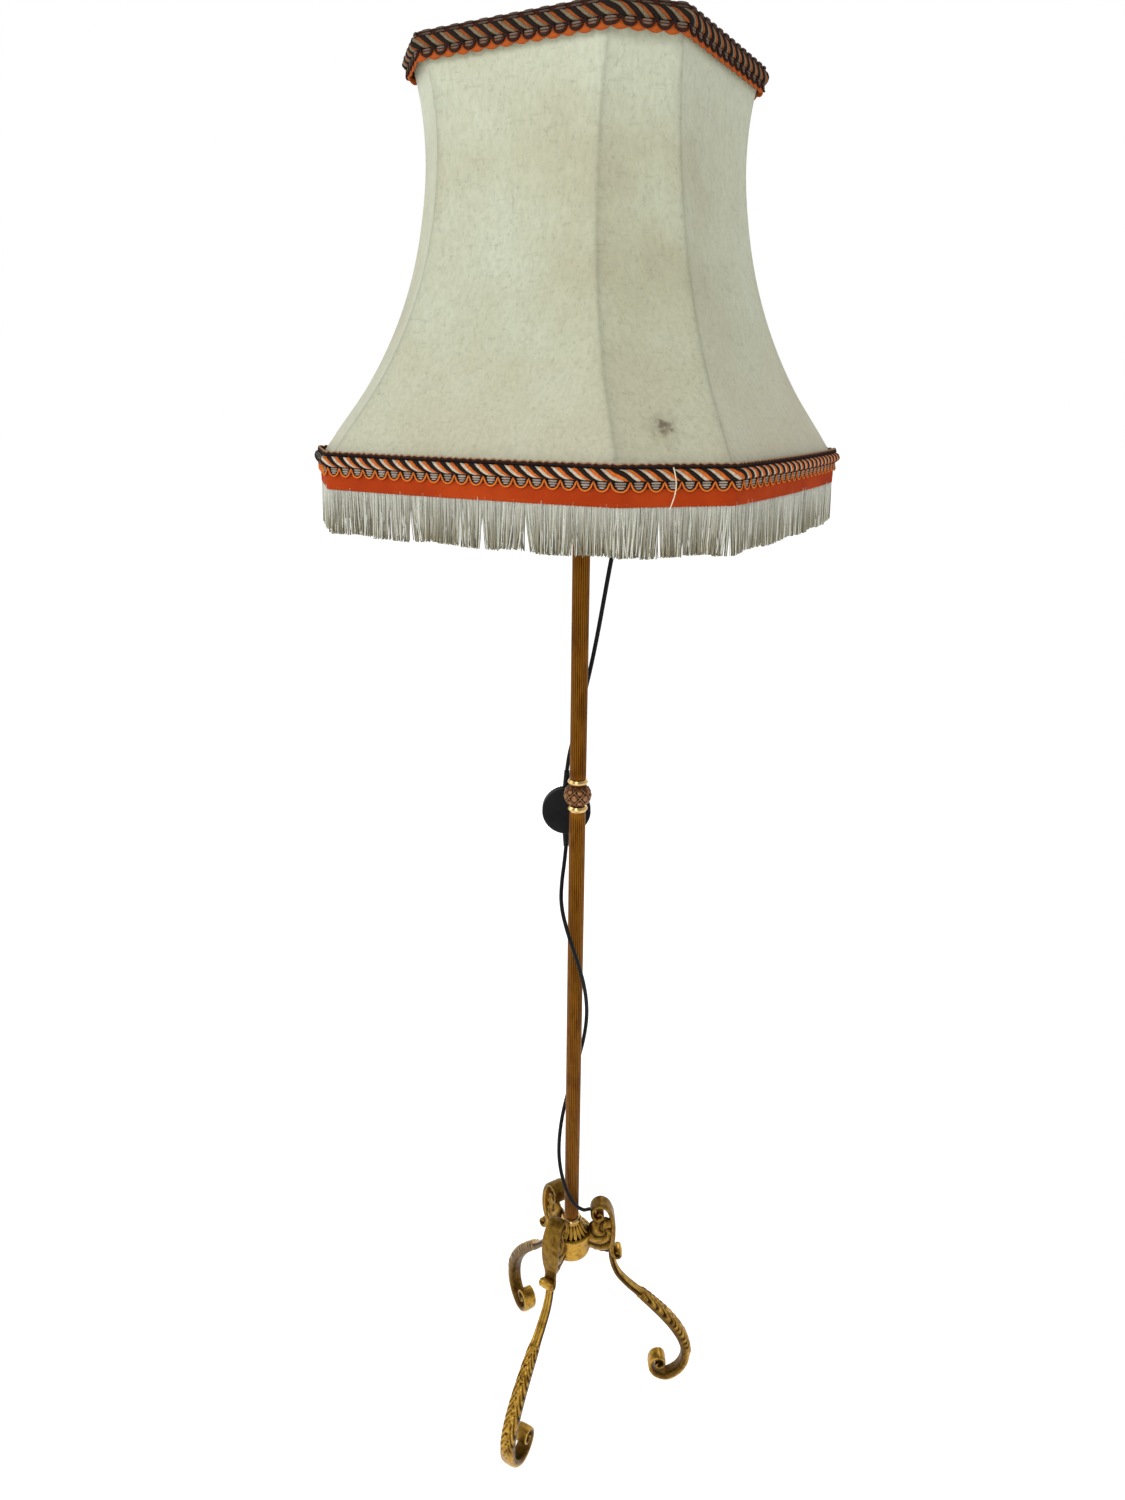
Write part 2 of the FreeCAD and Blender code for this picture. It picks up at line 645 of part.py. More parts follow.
def filament():
    """Two support wires from the stem and a fine wire bowed between them."""
    low = num(stem_low)
    fine_wire = [(-12.2, 0, low + 46.2), (-4, 0, low + 44), (4, 0, low + 44), (12.2, 0, low + 46.2)]
    solids = [rod_along(fine_wire, 0.3, "filament")[0]]
    for side in (-1, 1):
        start, end = V(side * 1.5, 0, low + 26.2), V(side * 13, 0, low + 45.6)
        solids.append(Part.makeCylinder(0.4, start.distanceToPoint(end), start, end - start))
    return solids[0].fuse(solids[1:])


feature("filament", filament())

# ---------------------------------------------------------------- shade

# The bell: distance of a wide side from the axis at each height, and the cut corner's leg.
BELL = [(0.0, 1.0), (0.070, 0.937), (0.18, 0.836), (0.32, 0.736), (0.46, 0.664), (0.62, 0.612),
        (0.78, 0.587), (0.93, 0.597), (1.0, 0.615)]
BOW = 6.0   # how far the middle of a wide side stands out at the bottom
shade_low, shade_high = num(cell("shade_bottom")), num(cell("shade_top"))


def bell_at(share):
    """Half width, corner cut and bow of the shade at a share of its height."""
    for (low, small), (high, large) in zip(BELL, BELL[1:]):
        if share <= high:
            half = small + (large - small) * (share - low) / (high - low)
            break
    half *= num(cell("bottom_half"))
    corner_cut = num(cell("bottom_cut")) + (num(cell("top_cut")) - num(cell("bottom_cut"))) * share
    return half, corner_cut, BOW * (1 - share) ** 2 + 0.3


def corners(half, corner_cut, inset, height):
    """The eight corners, inset square to the sides, in order round the shade from the front left."""
    wide = half - inset
    narrow = half - corner_cut - inset * (math.sqrt(2) - 1)
    return [V(x, y, height) for x, y in (
        (-narrow, -wide), (narrow, -wide), (wide, -narrow), (wide, narrow),
        (narrow, wide), (-narrow, wide), (-wide, narrow), (-wide, -narrow))]


def side_edge(start, end, bow):
    """One side's edge: bowed outwards on a wide side, straight on a narrow one."""
    middle = (start + end) * 0.5
    outward = V(middle.x, middle.y, 0).normalize()
    if bow == 0:
        return Part.LineSegment(start, end).toShape()
    return Part.Arc(start, middle + outward * bow, end).toShape()


def panel(side, thickness):
    """One side of the bell as a thin loft through the bell's heights."""
    sections = []
    for share, _ in BELL:
        half, corner_cut, bow = bell_at(share)
        height = shade_low + (shade_high - shade_low) * share
        outer = corners(half, corner_cut, 0, height)
        inner = corners(half, corner_cut, thickness, height)
        a, b = outer[side], outer[(side + 1) % 8]
        c, d = inner[(side + 1) % 8], inner[side]
        bow = bow if side % 2 == 0 else 0
        sections.append(Part.Wire([side_edge(a, b, bow), Part.LineSegment(b, c).toShape(),
                                   side_edge(c, d, bow), Part.LineSegment(d, a).toShape()]))
    return Part.makeLoft(sections, True, False)


thick = num(cell("panel_thickness"))
feature("wide_panels", Part.makeCompound([panel(side, thick) for side in (0, 2, 4, 6)]))
feature("narrow_panels", Part.makeCompound([panel(side, thick) for side in (1, 3, 5, 7)]))


def band(share, low, high, clear, thickness):
    """An eight-sided upright ring that follows the shade's outline at one level."""
    half, corner_cut, bow = bell_at(share)
    faces = []
    for inset in (-clear - thickness, -clear):
        ring = corners(half, corner_cut, inset, low)
        edges = [side_edge(ring[i], ring[(i + 1) % 8], bow if i % 2 == 0 else 0) for i in range(8)]
        faces.append(Part.Face(Part.Wire(edges)))
    return faces[0].cut(faces[1]).extrude(V(0, 0, high - low))


braid_height, braid_thick = num(cell("braid_height")), num(cell("braid_thickness"))
braid_low = shade_low - num(cell("braid_overhang"))
ribbon_high = braid_low - 0.2
fringe_low = braid_low - num(cell("fringe_length"))
feature("top_braid", band(1.0, shade_high - braid_height, shade_high, 0.4, braid_thick))
feature("bottom_braid", band(0.0, braid_low, braid_low + braid_height, 0.4, braid_thick))
feature("ribbon", band(0.0, ribbon_high - num(cell("ribbon_height")), ribbon_high, 0.4, 1.2))
feature("fringe", band(0.0, fringe_low, shade_low - 0.3, -2.6, 2.8))


def wire_ring(share, inset, height, radius):
    """A closed square wire that runs round inside the shade."""
    half, corner_cut, bow = bell_at(share)
    faces = []
    for clear in (-radius, radius):
        ring = corners(half, corner_cut, inset + clear, height - radius)
        edges = [side_edge(ring[i], ring[(i + 1) % 8], bow if i % 2 == 0 else 0) for i in range(8)]
        faces.append(Part.Face(Part.Wire(edges)))
    return faces[0].cut(faces[1]).extrude(V(0, 0, 2 * radius))


wire = num(cell("wire_radius"))
top_wire_height = shade_high - wire - 1
bottom_wire_height = shade_low + wire + 1
wire_inset = num(cell("wire_inset"))
TOP_WIRE_SHARE, BOTTOM_WIRE_SHARE = 0.985, 0.03   # the levels whose outline each ring follows
feature("shade_top_wire", wire_ring(TOP_WIRE_SHARE, wire_inset, top_wire_height, wire))
feature("shade_bottom_wire", wire_ring(BOTTOM_WIRE_SHARE, wire_inset, bottom_wire_height, wire))


WELD = 0.5   # how far a welded wire's end goes into its ring


def rib(corner):
    """A wire down one corner of the bell, between the two rings."""
    inset = num(cell("rib_inset"))
    run = []
    for share, _ in BELL[1:-1]:
        half, corner_cut, _ = bell_at(share)
        point = corners(half, corner_cut, inset, shade_low + (shade_high - shade_low) * share)[corner]
        run.append((point.x, point.y, point.z))
    low = bell_at(BOTTOM_WIRE_SHARE)
    high = bell_at(TOP_WIRE_SHARE)
    first = corners(low[0], low[1], wire_inset, bottom_wire_height + wire - WELD)[corner]
    last = corners(high[0], high[1], wire_inset, top_wire_height - wire + WELD)[corner]
    run = [tuple(first)] + run + [tuple(last)]
    return rod_along(run, num(cell("rib_radius")), "rib")[0]


feature("shade_ribs", Part.makeCompound([rib(corner) for corner in range(8)]))

# four arms drop from the top ring to the fitter ring that sits on the lampholder
fitter = num(cell("fitter_height"))
keep("fitter_ring", tube("fitter_ring", cell("fitter_radius"), shell_radius + 0.5,
                         cell("fitter_thickness"), (0, 0, cell("fitter_height"))))
shade_ring_low = cell("fitter_height") + cell("fitter_thickness") + cell("turn_gap")
keep("shade_ring", tube("shade_ring", shell_radius + 5, shell_radius + 0.02, 8, (0, 0, shade_ring_low)))


def arm(azimuth):
    """A bent wire from the fitter ring, clear of the shade ring, out and up to the top ring."""
    half, corner_cut, _ = bell_at(TOP_WIRE_SHARE)
    reach = math.sqrt(2) * (half - corner_cut / 2) - wire_inset - wire - 1
    start = num(cell("fitter_radius")) - 1
    run = [(start, fitter + 1), (start + 10, fitter + 1.2), (start + 20, fitter + 9),
           (start + 42, fitter + 48), (reach - 12, top_wire_height - 24), (reach, top_wire_height - 1.6)]
    a = math.radians(azimuth)
    return rod_along([(r * math.cos(a), r * math.sin(a), z) for r, z in run], 1.5, "arm")[0]


feature("shade_arms", Part.makeCompound([arm(45 + 90 * quarter) for quarter in range(4)]))

# ---------------------------------------------------------------- foot switch, hanging on the cord

SWITCH_AT = (-25.6, 19.1)
switch_z = cell("switch_height")
lead_rotation = FreeCAD.Rotation(Z_AXIS, LEAD_ANGLE)
base_depth, dome_depth = cell("switch_base_depth"), cell("switch_dome_depth")
switch_r, button_r = cell("switch_radius"), cell("button_radius")
# Each switch piece is turned about +Z and then laid down, so that its own +Z points backwards.
laid_back = lead_rotation.multiply(FreeCAD.Rotation(X_AXIS, -90))
switch_frame = FreeCAD.Placement(V(SWITCH_AT[0], SWITCH_AT[1], num(switch_z)), laid_back)


def hang(node, thing):
    thing.Placement = switch_frame.multiply(thing.Placement)
    return keep(node, thing)


SPLIT = -4   # where the two shells meet, behind the cord's own line
hang("switch_base", revolve("switch_base", [
    (0, SPLIT - base_depth), (switch_r - 2, SPLIT - base_depth), (switch_r, SPLIT - base_depth + 2),
    (switch_r, SPLIT), (switch_r - 2.2, SPLIT), (switch_r - 2.2, SPLIT - base_depth + 2.2),
    (0, SPLIT - base_depth + 2.2),
]))
switch_dome = revolve("switch_dome", [
    (switch_r, SPLIT + 0.1), (switch_r, 2), (switch_r - 3, 6), (switch_r - 9, dome_depth - 5),
    (button_r + 4, dome_depth - 4), (button_r + 0.4, dome_depth - 4), (button_r + 0.4, dome_depth - 6),
    (button_r + 3, dome_depth - 6), (switch_r - 10, dome_depth - 7), (switch_r - 4.5, 4.5),
    (switch_r - 2.2, 1.4), (switch_r - 2.2, SPLIT + 0.1),
])
hang("switch_dome", switch_dome)
hang("switch_button", revolve("switch_button", [
    (0, dome_depth - 6), (button_r - 2, dome_depth - 6), (button_r - 2, 2.4), (button_r + 2.2, 2.4),
    (button_r + 2.2, 4.4), (button_r, 4.4), (button_r, dome_depth - 2.5),
    (button_r - 1.5, dome_depth - 1), (0, dome_depth - 0.6),
]))


def spring(coil_radius, wire_radius, pitch, turns):
    """A helical spring, standing on z = 0."""
    helix = Part.makeHelix(pitch, pitch * turns, coil_radius)
    section = Part.Wire(Part.makeCircle(wire_radius, V(coil_radius, 0, 0), V(0, coil_radius, pitch / 6.28)))
    return Part.Wire(helix).makePipeShell([section], True, True)


SPRING_LOW = -5.8   # the spring is drawn at its pressed length
feature("switch_spring", spring(5, 0.5, 3.4, 3),
        switch_frame.multiply(FreeCAD.Placement(V(0, 0, SPRING_LOW), FreeCAD.Rotation())))
contact_block = fuse("contact_block", [
    block("contact_plate", (34, 18, 2.5), (-17, -9, -base_depth - 1.8)),
    cylinder("contact_post", 3.6, 3, (0, 0, -base_depth + 0.6)),
])
hang("switch_contacts", contact_block)
switch_screws = [
    cylinder(f"switch_screw_{i}", 1.4, 9, (24 * math.cos(math.radians(a)), 24 * math.sin(math.radians(a)),
                                          -base_depth - 1.7))
    for i, a in enumerate((30, 150, 270))
]
hang("switch_screws", group("switch_screws", switch_screws))


def relief(name, direction):
    """A tapered sleeve where the cord enters the switch, along the switch's own Y."""
    outside = cone(name + "_outside", 5, 3.4, cell("relief_length"))
    inside = cylinder(name + "_bore", core_bore, cell("relief_length"))
    sleeve = cut(name, outside, inside)
    spin = FreeCAD.Rotation(X_AXIS, -90 * direction)
    sleeve.Placement = FreeCAD.Placement(V(0, direction * (num(switch_r) + 0.1), 0), spin)
    return sleeve


hang("switch_reliefs", group("switch_reliefs", [relief("relief_top", -1), relief("relief_bottom", 1)]))

# ---------------------------------------------------------------- cord, coil and plug

# The cord leaves the holder's side, hangs past the pole into the switch, winds down the pole,
# drops behind the hub and runs on the floor into its coil.
UPPER_ROUTE = [
    (29.0, 15.7, 1490), (43.9, 23.9, 1489), (58.5, 30.6, 1479), (66.9, 34.0, 1460), (68.2, 33.6, 1434),
    (63.4, 29.9, 1394), (54.6, 25.1, 1345), (42.7, 19.8, 1292), (31.7, 16.1, 1240), (22.7, 15.8, 1188),
    (13.3, 17.5, 1138), (3.4, 18.9, 1092), (-6.8, 16.8, 1046), (-16.9, 16.4, 1004), (-23.3, 18.6, 982),
    (-25.6, 19.1, 964.1),
]
LOWER_ROUTE = [
    (-25.6, 19.1, 863.9), (-26.5, 17.4, 843), (-24.4, 6.1, 818), (-15.3, -11.7, 796), (-0.7, -19.7, 765),
    (11.9, -14.6, 724), (17.4, -3.7, 681), (14.0, 9.9, 633), (3.6, 18.5, 581), (-8.8, 16.3, 530),
    (-17.5, 7.0, 482), (-17.0, -8.1, 440), (-11.0, -17.4, 403), (1.8, -20.1, 366), (13.7, -14.8, 342),
    (19.1, -1.6, 326), (16.8, 12.2, 314), (18.0, 32.2, 301), (8.4, 56.6, 268), (-7.7, 88.9, 212),
    (-26.4, 119.6, 153), (-46.8, 147.3, 98), (-68.0, 172.3, 55), (-86.5, 194.2, 25), (-98.2, 217.3, 8),
    (-104.4, 243.7, 3.3),
]
TAIL_ROUTE = [
    (-106.6, 242.5, 8.2), (-117.5, 256.0, 8.8), (-134.5, 263.3, 10.8), (-149.8, 258.6, 13.6),
    (-159.2, 245.7, 16.4), (-158.9, 229.7, 18.2),
]
COIL_AT = (-133.0, 228.2)
PLUG_AT = (-158.9, 229.7, 18.2)
COIL_LOW = 0.8
cord_r = num(cell("cord_radius"))
for node, route in (("cord_upper", UPPER_ROUTE), ("cord_lower", LOWER_ROUTE), ("cord_tail", TAIL_ROUTE)):
    solid, length, radii = rod_along(route, cord_r, node)
    print(node, "length", round(length), "radii", [round(radius) for radius in radii])
    feature(node, solid)

keep("cord_coil", tube("cord_coil", cell("coil_outer"), cell("coil_inner"), cell("coil_height"),
                       (COIL_AT[0], COIL_AT[1], COIL_LOW)))
# a band round the coil's turns on one side, loose by a hair all round
coil_width = cell("coil_outer") - cell("coil_inner")
TIE_AZIMUTH, TIE_HALF, TIE_THICK, TIE_LOOSE = -60, 4, 0.8, 0.5
tie_inner = block("tie_inner", (coil_width + 2 * TIE_LOOSE, 2 * TIE_HALF, cell("coil_height") + 0.1),
                  (cell("coil_inner") - TIE_LOOSE, -TIE_HALF, COIL_LOW - 0.05))
tie_outer = block("tie_outer", (coil_width + 2 * (TIE_LOOSE + TIE_THICK), 2 * TIE_HALF,
                                cell("coil_height") + 2 * TIE_THICK),
                  (cell("coil_inner") - TIE_LOOSE - TIE_THICK, -TIE_HALF, COIL_LOW - TIE_THICK))
tie = cut("coil_tie", tie_outer, tie_inner)
tie.Placement = FreeCAD.Placement(V(COIL_AT[0], COIL_AT[1], 0), FreeCAD.Rotation(Z_AXIS, TIE_AZIMUTH))
keep("coil_tie", tie)

# The plug lies on the coil. In its own frame the cord enters at the origin and the pins point to -Y.
plug_frame = FreeCAD.Placement(V(*PLUG_AT), lead_rotation)
plug_back = num(cell("plug_sleeve"))
plug_front = plug_back + num(cell("plug_length"))


def plug_body():
    """A flat two-pin plug: waisted in plan, thicker in the middle, with its edges rounded."""
    plan = [V(-6, -plug_back, -7), V(-6.5, -plug_back - 9, -7), V(-15.5, -plug_front + 9, -7),
            V(-13, -plug_front, -7), V(13, -plug_front, -7), V(15.5, -plug_front + 9, -7),
            V(6.5, -plug_back - 9, -7), V(6, -plug_back, -7)]
    slab = Part.Face(Part.makePolygon(plan + plan[:1])).extrude(V(0, 0, 14))
    return slab.makeFillet(3, [edge for edge in slab.Edges if abs(edge.BoundBox.ZLength) < 0.01])


feature("plug_body", plug_body(), plug_frame)
plug_pins = [
    cylinder(f"plug_pin_{side}", cell("pin_radius"), cell("pin_length"), (0, 0, 0)) for side in (-1, 1)
]
for side, pin in zip((-1, 1), plug_pins):
    pin.Placement = FreeCAD.Placement(V(side * num(cell("pin_spacing")) / 2, -plug_front, 0),
                                      FreeCAD.Rotation(X_AXIS, 90))
pins = group("plug_pins", plug_pins)
pins.Placement = plug_frame
keep("plug_pins", pins)
plug_sleeve = cut("plug_sleeve", cone("plug_sleeve_outside", 3.4, 5, cell("plug_sleeve")),
                  cylinder("plug_sleeve_bore", core_bore, cell("plug_sleeve")))
plug_sleeve.Placement = plug_frame.multiply(FreeCAD.Placement(V(0, 0, 0), FreeCAD.Rotation(X_AXIS, 90)))
keep("plug_relief", plug_sleeve)

# ---------------------------------------------------------------- check and write

doc.recompute()
failed = [thing.Name for thing in doc.Objects
          if {"Invalid", "Error"} & {str(state) for state in thing.State}]
if failed:
    raise ValueError(f"these objects failed to build: {failed}")
os.makedirs("parts", exist_ok=True)
for node, thing in parts.items():
    shape = thing.Shape
    if shape.isNull() or not shape.isValid() or not shape.Solids:
        raise ValueError(f"{node} has no valid solid")
    shape.exportStep(f"parts/{node}.step")
    box = shape.BoundBox
    print(f"{node}: {len(shape.Solids)} solid, volume {shape.Volume:.0f}, "
          f"x {box.XMin:.1f} {box.XMax:.1f} y {box.YMin:.1f} {box.YMax:.1f} z {box.ZMin:.1f} {box.ZMax:.1f}")
print(len(parts), "sub-parts")
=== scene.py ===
import json
import math

import bmesh
import bpy
import numpy as np
from mathutils import Matrix, Vector


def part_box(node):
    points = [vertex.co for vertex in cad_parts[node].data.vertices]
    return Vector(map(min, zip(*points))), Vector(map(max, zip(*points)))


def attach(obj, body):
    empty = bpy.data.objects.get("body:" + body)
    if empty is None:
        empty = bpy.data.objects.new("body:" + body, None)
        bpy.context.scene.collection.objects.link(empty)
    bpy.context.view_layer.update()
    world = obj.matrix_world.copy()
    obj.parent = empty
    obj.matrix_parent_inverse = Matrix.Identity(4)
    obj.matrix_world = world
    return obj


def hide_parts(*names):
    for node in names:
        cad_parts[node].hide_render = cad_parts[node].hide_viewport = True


# A standing lamp with a fringed shade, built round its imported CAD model. Everything is in metres, in the
# CAD model's frame: +Z up, the origin on the floor on the pole's axis, one leg towards -Y.

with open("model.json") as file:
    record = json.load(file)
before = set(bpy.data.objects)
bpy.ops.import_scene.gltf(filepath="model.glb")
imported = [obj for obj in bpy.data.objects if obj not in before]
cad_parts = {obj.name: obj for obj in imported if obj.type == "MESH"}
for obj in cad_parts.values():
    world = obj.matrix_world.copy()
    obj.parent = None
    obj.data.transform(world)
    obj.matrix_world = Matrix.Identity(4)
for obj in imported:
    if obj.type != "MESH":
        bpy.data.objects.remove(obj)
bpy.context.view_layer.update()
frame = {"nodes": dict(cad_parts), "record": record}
scene = bpy.context.scene
MM = 0.001
rng = np.random.default_rng(7)


# ---------------------------------------------------------------- camera

CAMERA_AZIMUTH = math.radians(28.05)
CAMERA_DISTANCE = 1.1293
CAMERA_HEIGHT = 1.3964
PITCH, ROLL, YAW = (math.radians(angle) for angle in (19.30, 0.542, -0.952))
LENS = 24.28


def make_camera():
    """The camera stands in front of the lamp, a little to its right, and looks down."""
    data = bpy.data.cameras.new("camera")
    data.lens = LENS
    data.sensor_width = 36
    data.clip_start = 0.05
    camera = bpy.data.objects.new("camera", data)
    scene.collection.objects.link(camera)
    forward = Vector((math.sin(YAW) * math.cos(PITCH), math.cos(YAW) * math.cos(PITCH), -math.sin(PITCH)))
    right = Vector((math.cos(YAW), -math.sin(YAW), 0))
    up = right.cross(forward)
    rolled_right = right * math.cos(ROLL) + up * math.sin(ROLL)
    rolled_up = up * math.cos(ROLL) - right * math.sin(ROLL)
    turn = Matrix.Rotation(CAMERA_AZIMUTH, 3, "Z")
    axes = turn @ Matrix((rolled_right, rolled_up, -forward)).transposed()
    place = turn @ Vector((0, -CAMERA_DISTANCE, CAMERA_HEIGHT))
    camera.matrix_world = Matrix.Translation(place) @ axes.to_4x4()
    scene.camera = camera


make_camera()


# ---------------------------------------------------------------- materials

class Nodes:
    """A small helper that builds one material's node tree."""

    def __init__(self, name):
        self.material = bpy.data.materials.new(name)
        self.material.use_nodes = True
        self.tree = self.material.node_tree
        self.shader = self.tree.nodes["Principled BSDF"]
        self.place = self.add("ShaderNodeTexCoord").outputs["Object"]

    def add(self, kind, **sockets):
        node = self.tree.nodes.new(kind)
        for name, value in sockets.items():
            node.inputs[name.replace("_", " ")].default_value = value
        return node

    def link(self, source, target):
        self.tree.links.new(source, target)

    def put(self, value, socket):
        """Links what another node gives, or sets a constant."""
        if isinstance(value, bpy.types.NodeSocket):
            self.link(value, socket)
        else:
            socket.default_value = (*value, 1) if isinstance(value, tuple) else value

    def noise(self, scale, detail=4.0, roughness=0.6, stretch=None):
        """A noise value in the object's own coordinates, stretched if a stretch is given."""
        node = self.add("ShaderNodeTexNoise", Scale=scale, Detail=detail, Roughness=roughness)
        source = self.place
        if stretch is not None:
            mapping = self.add("ShaderNodeMapping", Scale=stretch)
            self.link(source, mapping.inputs["Vector"])
            source = mapping.outputs["Vector"]
        self.link(source, node.inputs["Vector"])
        return node.outputs["Fac"]

    def ramp(self, value, stops):
        """Colours or greys along a value; each stop is (position, colour)."""
        node = self.add("ShaderNodeValToRGB")
        elements = node.color_ramp.elements
        while len(elements) < len(stops):
            elements.new(0.5)
        for element, (position, colour) in zip(elements, stops):
            element.position = position
            element.color = (*colour, 1) if len(colour) == 3 else (colour[0],) * 3 + (1,)
        self.link(value, node.inputs["Fac"])
        return node.outputs["Color"]

    def mix(self, share, first, second, kind="MIX"):
        node = self.add("ShaderNodeMix")
        node.data_type = "RGBA"
        node.blend_type = kind
        for name, value in (("Factor", share), ("A", first), ("B", second)):
            self.put(value, next(s for s in node.inputs if s.name == name and s.enabled))
        return next(s for s in node.outputs if s.enabled)

    def math(self, kind, first, second):
        node = self.add("ShaderNodeMath")
        node.operation = kind
        self.put(first, node.inputs[0])
        self.put(second, node.inputs[1])
        return node.outputs[0]

    def share(self, value, part):
        """A part of a value."""
        return self.math("MULTIPLY", value, part)

    def tint(self, output):
        """The mesh's own tint: its Color, which on the trims also holds painted shade, or its Alpha, which
        holds the relief's height and, on the legs, painted shade.
        """
        node = self.add("ShaderNodeAttribute")
        node.attribute_name = "tint"
        return node.outputs[output]

    def bump(self, height, distance, strength=1.0):
        node = self.add("ShaderNodeBump", Strength=strength, Distance=distance)
        self.link(height, node.inputs["Height"])
        self.link(node.outputs["Normal"], self.shader.inputs["Normal"])

    def set(self, **values):
        for name, value in values.items():
            self.put(value, self.shader.inputs[name.replace("_", " ")])


def brass(name, bright, middle, dark, rough, relief=True, streak=(1, 1, 1)):
    """Aged brass: blotchy lacquer over the metal and, where there is relief, dark tarnish in its hollows;
    where the mesh's alpha is lowered as painted shade, as on the legs, it darkens the same way.
    """
    n = Nodes(name)
    blotch = n.noise(55, 6, 0.65, streak)
    colour = n.ramp(blotch, [(0.36, middle), (0.52, bright), (0.66, middle)])
    fine = n.noise(900, 2, 0.5, streak)
    colour = n.mix(n.share(fine, 0.22), colour, dark)
    gloss = n.math("ADD", n.share(blotch, 0.22), rough - 0.11)
    if relief:
        # The alpha is the relief's height, and on the legs it is also lowered on backs and sides as painted
        # shade; low alpha turns dark.
        height = n.tint("Alpha")
        wear_and_shade = n.math("ADD", height, n.share(n.math("SUBTRACT", n.noise(160, 4), 0.5), 0.35))
        tarnish_and_shade = n.ramp(wear_and_shade, [(0.08, (1,)), (0.34, (0.62,)), (0.62, (0.12,)), (0.80, (0,))])
        colour = n.mix(tarnish_and_shade, colour, dark)
        gloss = n.math("ADD", gloss, n.share(tarnish_and_shade, 0.28))
    n.set(Base_Color=colour, Metallic=1.0, Roughness=gloss)
    n.bump(n.noise(420, 5, 0.6, streak), 0.00012)
    return n.material


def steel(name, light, dark, rough):
    """Plated steel with fine drawing marks."""
    n = Nodes(name)
    marks = n.noise(600, 3, 0.6, (1, 1, 0.08))
    n.set(Base_Color=n.ramp(marks, [(0.3, dark), (0.7, light)]), Metallic=1.0,
          Roughness=n.math("ADD", n.share(marks, 0.2), rough))
    n.bump(marks, 0.00004)
    return n.material


def moulded(name, colour, rough, grain=0.00006, grain_scale=1500, gloss=0.4):
    """Moulded plastic, glaze or rubber: a faint grain and slightly uneven gloss."""
    n = Nodes(name)
    cloud = n.noise(60, 5)
    lighter = tuple(min(1.0, c * 1.5 + 0.004) for c in colour)
    n.set(Base_Color=n.ramp(cloud, [(0.35, colour), (0.75, lighter)]), Specular_IOR_Level=gloss,
          Roughness=n.math("ADD", n.share(cloud, 0.18), rough))
    n.bump(n.noise(grain_scale, 2), grain)
    return n.material


def glass(name):
    """Clear bulb glass with the faintest ripple."""
    n = Nodes(name)
    haze = n.noise(25, 3)
    n.set(Base_Color=n.ramp(haze, [(0.3, (0.93, 0.95, 0.95)), (0.7, (1.0, 1.0, 1.0))]),
          Transmission_Weight=1.0, IOR=1.45, Roughness=0.02)
    n.bump(haze, 0.0001)
    return n.material


def yarn(name, fibre_scale=1100, sheen=0.0):
    """Yarn whose colour is in the mesh, with fibres as fine mottling and bump."""
    n = Nodes(name)
    fibres = n.noise(fibre_scale, 3, 0.7)
    dust = n.noise(45, 4)
    shade = n.ramp(fibres, [(0.28, (0.55,)), (0.66, (1.25,))])
    colour = n.mix(1.0, n.tint("Color"), shade, "MULTIPLY")
    colour = n.mix(n.share(dust, 0.08), colour, (0.14, 0.10, 0.06))
    n.set(Base_Color=colour, Roughness=0.9, Sheen_Weight=sheen, Sheen_Roughness=0.45,
          Specular_IOR_Level=0.06)
    n.bump(fibres, 0.0003)
    return n.material


def ribbon_weave(name):
    """A rust-red ribbed band, with the warp's fine lines and a little fading."""
    n = Nodes(name)
    fade = n.noise(18, 4)
    colour = n.ramp(fade, [(0.3, (0.30, 0.028, 0.003)), (0.7, (0.44, 0.054, 0.006))])
    threads = n.noise(700, 2, 0.5, (1, 1, 3.5))
    colour = n.mix(n.share(threads, 0.45), colour, (0.25, 0.03, 0.01))
    n.set(Base_Color=colour, Roughness=0.9, Specular_IOR_Level=0.05)
    n.bump(threads, 0.00035)
    return n.material


